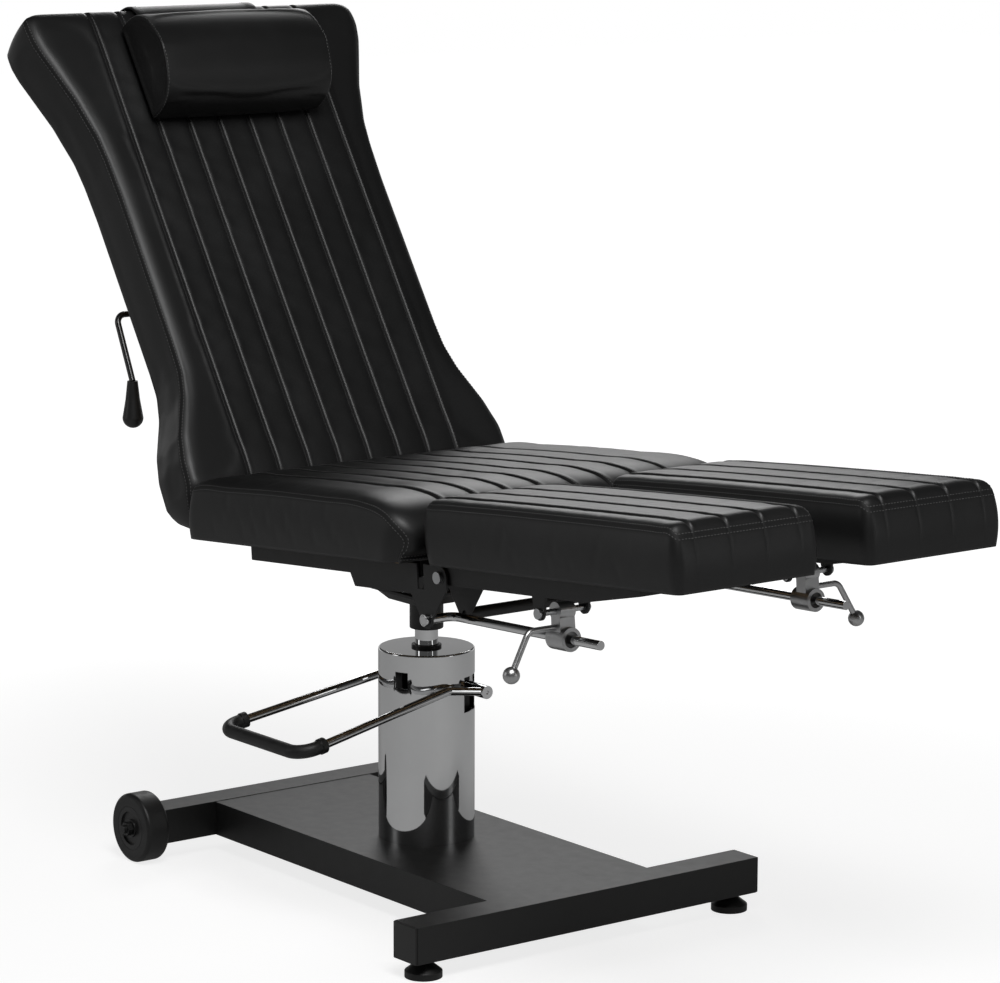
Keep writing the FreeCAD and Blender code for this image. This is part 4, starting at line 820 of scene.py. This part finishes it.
# Where the plan's rear and front corners end, and their radii
SEAT_ENDS, SEAT_CORNERS = (-163.0, 327.0), (16.0, 22.0)
LEG_ENDS, LEG_CORNERS = (352.0, 860.0), (18.0, 9.0)
SEAT_HALF = 283.0
LEG_INNER, LEG_OUTER = 43.5, 262.0
UNDERSIDE = 1.5
BACK_UNDERSIDE = -88.5


def rounded_in(a, ends, corners):
    """How far a corner of the plan has drawn the edge in, at a place along the length."""
    inset = 0.0
    for distance, radius in zip((a - ends[0], ends[1] - a), corners):
        if distance < radius:
            inset = max(inset, radius - math.sqrt(max(0.0, radius ** 2 - (radius - max(distance, 0.0)) ** 2)))
    return inset


def seat_sides(a):
    inset = rounded_in(a, SEAT_ENDS, SEAT_CORNERS)
    return -SEAT_HALF + inset, SEAT_HALF - inset


def back_sides(a):
    half = float(np.interp(a, *zip(*BACK_HALVES)))
    return -half, half


def leg_sides(side):
    def sides(a):
        inset = rounded_in(a, LEG_ENDS, LEG_CORNERS)
        outer, inner = LEG_OUTER - inset, LEG_INNER + inset
        return (inner, outer) if side > 0 else (-outer, -inner)
    return sides


FILLING_PRESSURE, FILLING_SLACK = 4.0, 0.0015
HELD_COLUMNS = (-2, 5)
HELD_REAR_ROWS = 4


def upholster(cushion, first, last, body, held_rear):
    """Fills a cushion's cover, gathers and sews it. Its names start and end with these words."""
    name = first + "_cover" + last
    piece = cushion.piece(name)
    grid = cushion.face_grid
    held = set(cushion.rim) | set(cushion.loops[-2]) | set(cushion.loops[-1])
    for column in cushion.seam_columns:
        held |= set(grid[:, column + HELD_COLUMNS[0]:column + HELD_COLUMNS[1]].ravel())
    if held_rear:
        rear_rim = set(grid[0])
        for n, vertex in enumerate(cushion.rim):
            if vertex in rear_rim:
                held |= {loop[n] for loop in cushion.loops}
        held |= set(grid[:HELD_REAR_ROWS].ravel())
    inflate(piece, held, FILLING_PRESSURE, FILLING_SLACK)
    pucker(cushion, piece, len(cushion.seams) + len(name))
    thread = stitch_lines(cushion, piece)
    seams = [[int(v) for v in grid[:, column]] for column in cushion.seam_columns]
    finish_cover(piece, seams + [cushion.rim + cushion.rim[:1]])
    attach(piece, body)
    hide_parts(first + "_cushion" + last)
    sew(first + "_stitches" + last, body, thread, [piece])


# Head bolster, in millimetres: how far its back and front stand off the backrest, and where it lies up it
PILLOW_HALF, PILLOW_CAP = 143.0, 5.0
PILLOW_FOOT, PILLOW_DEPTH = 8.6, 92.0
PILLOW_START, PILLOW_END = 554.0, 705.0
PILLOW_CORE = 4.0
PILLOW_OUTLINE = [(0.0, 0.0), (0.25, -0.005), (0.5, 0.025), (0.74, 0.12), (0.92, 0.29), (1.0, 0.5),
                  (0.92, 0.71), (0.74, 0.88), (0.5, 0.975), (0.25, 1.005), (0.0, 1.0)]
OUTLINE_STEP = 0.035
PILLOW_ROWS, PILLOW_SWELL = 38, 0.035
# The cap's rounding, as angles with how much it tapers, and then the rings of its gathered end: how far out
# each lies and how large it is
CAP_ANGLES, CAP_TAPER = (0.5, 1.0, 1.45), 0.05
CAP_RINGS = [(3.2, 0.80), (4.4, 0.6), (4.8, 0.4), (5.0, 0.2)]
RING_START, RING_SHARE = 4.2, 0.4
PILLOW_PRESSURE, PILLOW_SLACK = 3.0, 0.001


def tube_faces(rings, count):
    """The faces of a tube whose rings of points follow each other."""
    return [(k * count + n, k * count + (n + 1) % count,
             (k + 1) * count + (n + 1) % count, (k + 1) * count + n)
            for k in range(rings - 1) for n in range(count)]


def head_pillow():
    """A bolster with a flat back: one long panel, and a gathered cap at each end."""
    deep, long = PILLOW_DEPTH - PILLOW_FOOT, PILLOW_END - PILLOW_START
    arc = [(PILLOW_FOOT + deep * out, PILLOW_START + long * along)
           for out, along in smooth_line(PILLOW_OUTLINE, OUTLINE_STEP)]
    back = [(PILLOW_FOOT, s) for s in spread(PILLOW_END, PILLOW_START, GRID)][1:]
    section = np.array(arc + back)
    count = len(section)
    middle = np.array([(PILLOW_FOOT + PILLOW_DEPTH) / 2 - PILLOW_CORE, (PILLOW_START + PILLOW_END) / 2])
    flat_half = PILLOW_HALF - PILLOW_CAP
    panel = [(-flat_half + i * 2 * flat_half / PILLOW_ROWS,
              1.0 + PILLOW_SWELL * math.sin(math.pi * i / PILLOW_ROWS) ** 0.5)
             for i in range(PILLOW_ROWS + 1)]
    cap = [(flat_half + PILLOW_CAP * math.sin(t), 1 - CAP_TAPER * (1 - math.cos(t))) for t in CAP_ANGLES]
    cap += [(flat_half + PILLOW_CAP - RING_START + out * RING_SHARE, size) for out, size in CAP_RINGS]
    rings = [(-y, size) for y, size in reversed(cap)] + panel + cap
    points = [back_point(s, max(d, PILLOW_FOOT), y)
              for y, size in rings for d, s in middle + (section - middle) * size]
    faces = tube_faces(len(rings), count)
    for k in (0, len(rings) - 1):
        points.append(back_point(middle[1], middle[0], rings[k][0]))
        faces += [(k * count + n, k * count + (n + 1) % count, len(points) - 1) for n in range(count)]
    piece = new_object("head_pillow_cover", points, faces=faces)
    seams = [[k * count + n for n in range(count)]
             for k in (len(CAP_RINGS), len(rings) - 1 - len(CAP_RINGS))]
    flat = [k * count + n for k in range(len(rings)) for n in range(len(arc), count)]
    inflate(piece, set(seams[0] + seams[1] + flat), PILLOW_PRESSURE, PILLOW_SLACK)
    places = [v.co.copy() for v in piece.data.vertices]
    thread = [beside(places, seam[:len(arc)], [v + step for v in seam[:len(arc)]], FROM_PILLOW_SEAM)
              for seam, step in zip(seams, (count, -count))]
    finish_cover(piece, [seam + seam[:1] for seam in seams])
    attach(piece, "head_pillow")
    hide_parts("head_pillow")
    return piece, thread


# The band's route over the backrest's top, as distances in front of and up the backrest, and its section:
# places across it, and the share of its thickness there, with a turned hem along each edge
BAND_THICK, BAND_INNER, BAND_STEP = 3.0, 0.35, 6.0
BAND_PATH = [(8.3, 692), (8.3, 712), (2.5, 732), (-10, 746.5), (-27, 752.3), (-48, 752.6), (-68, 752.3),
             (-82, 748), (-89.6, 738), (-90.3, 724), (-90.3, 700), (-90.3, 653)]
BAND_ACROSS = [-106, -105.4, -103, -98, -93, -90, -60, -30, 0, 30, 60, 90, 93, 98, 103, 105.4, 106]
BAND_LIFT = [0.6, 0.9, 1.0, 1.0, 0.85, 0.72, 0.7, 0.72, 0.74, 0.72, 0.7, 0.72, 0.85, 1.0, 1.0, 0.9, 0.6]
HEM_COLUMN = 4


def pillow_band():
    """A strip of doubled leather with turned hems, from the bolster over the backrest's top edge."""
    path = smooth_line(BAND_PATH, BAND_STEP)
    points = []
    for (d, s), (nd, ns) in zip(path, right_angle_to(np.gradient(path, axis=0))):
        for y, up in zip(BAND_ACROSS, BAND_LIFT):
            points.append(back_point(s + ns * BAND_THICK * up, d + nd * BAND_THICK * up, y))
        for y in reversed(BAND_ACROSS):
            points.append(back_point(s + ns * BAND_INNER, d + nd * BAND_INNER, y))
    wide = len(BAND_ACROSS)
    ring = 2 * wide
    faces = tube_faces(len(path), ring)
    last = (len(path) - 1) * ring
    for j in range(wide - 1):
        faces.append((j, j + 1, ring - 2 - j, ring - 1 - j))
        faces.append((last + j, last + ring - 1 - j, last + ring - 2 - j, last + j + 1))
    piece = new_object("pillow_band_cover", points, faces=faces)
    places = [v.co.copy() for v in piece.data.vertices]
    hems = HEM_COLUMN, wide - 1 - HEM_COLUMN
    thread = [[places[k * ring + j] for k in range(2, len(path))] for j in hems]
    finish_cover(piece, [])
    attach(piece, "head_pillow")
    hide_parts("pillow_band")
    return piece, thread


# The chair in its studio
place_camera()
white_floor()
studio_walls()
soft_lamps()
dress_pieces()

upholster(Cushion(seat_point, SEAT_PATH, seat_sides, SEAT_SEAMS, channel_rise(SEAT_SEAMS, 34.0, 30.0, 14.0),
                  UNDERSIDE, pull_in=0.014, bulge=4.0), "seat", "", "seat", held_rear=True)
upholster(Cushion(back_point, BACK_PATH, back_sides, BACK_SEAMS, channel_rise(BACK_SEAMS, 24.0, 30.0, 26.0),
                  BACK_UNDERSIDE, pull_in=0.016, bulge=3.0), "back", "", "backrest", held_rear=True)
for side, word in ((-1, "_right"), (1, "_left")):
    seams = tuple(sorted(side * y for y in LEG_SEAMS))
    upholster(Cushion(seat_point, LEG_PATH, leg_sides(side), seams, channel_rise(seams, 24.0, 22.0, 22.0),
                      UNDERSIDE, pull_in=0.0, bulge=5.0), "leg", word, "footrest" + word, held_rear=False)
pillow, pillow_thread = head_pillow()
band, band_thread = pillow_band()
sew("pillow_stitches", "head_pillow", pillow_thread + band_thread, [pillow, band])
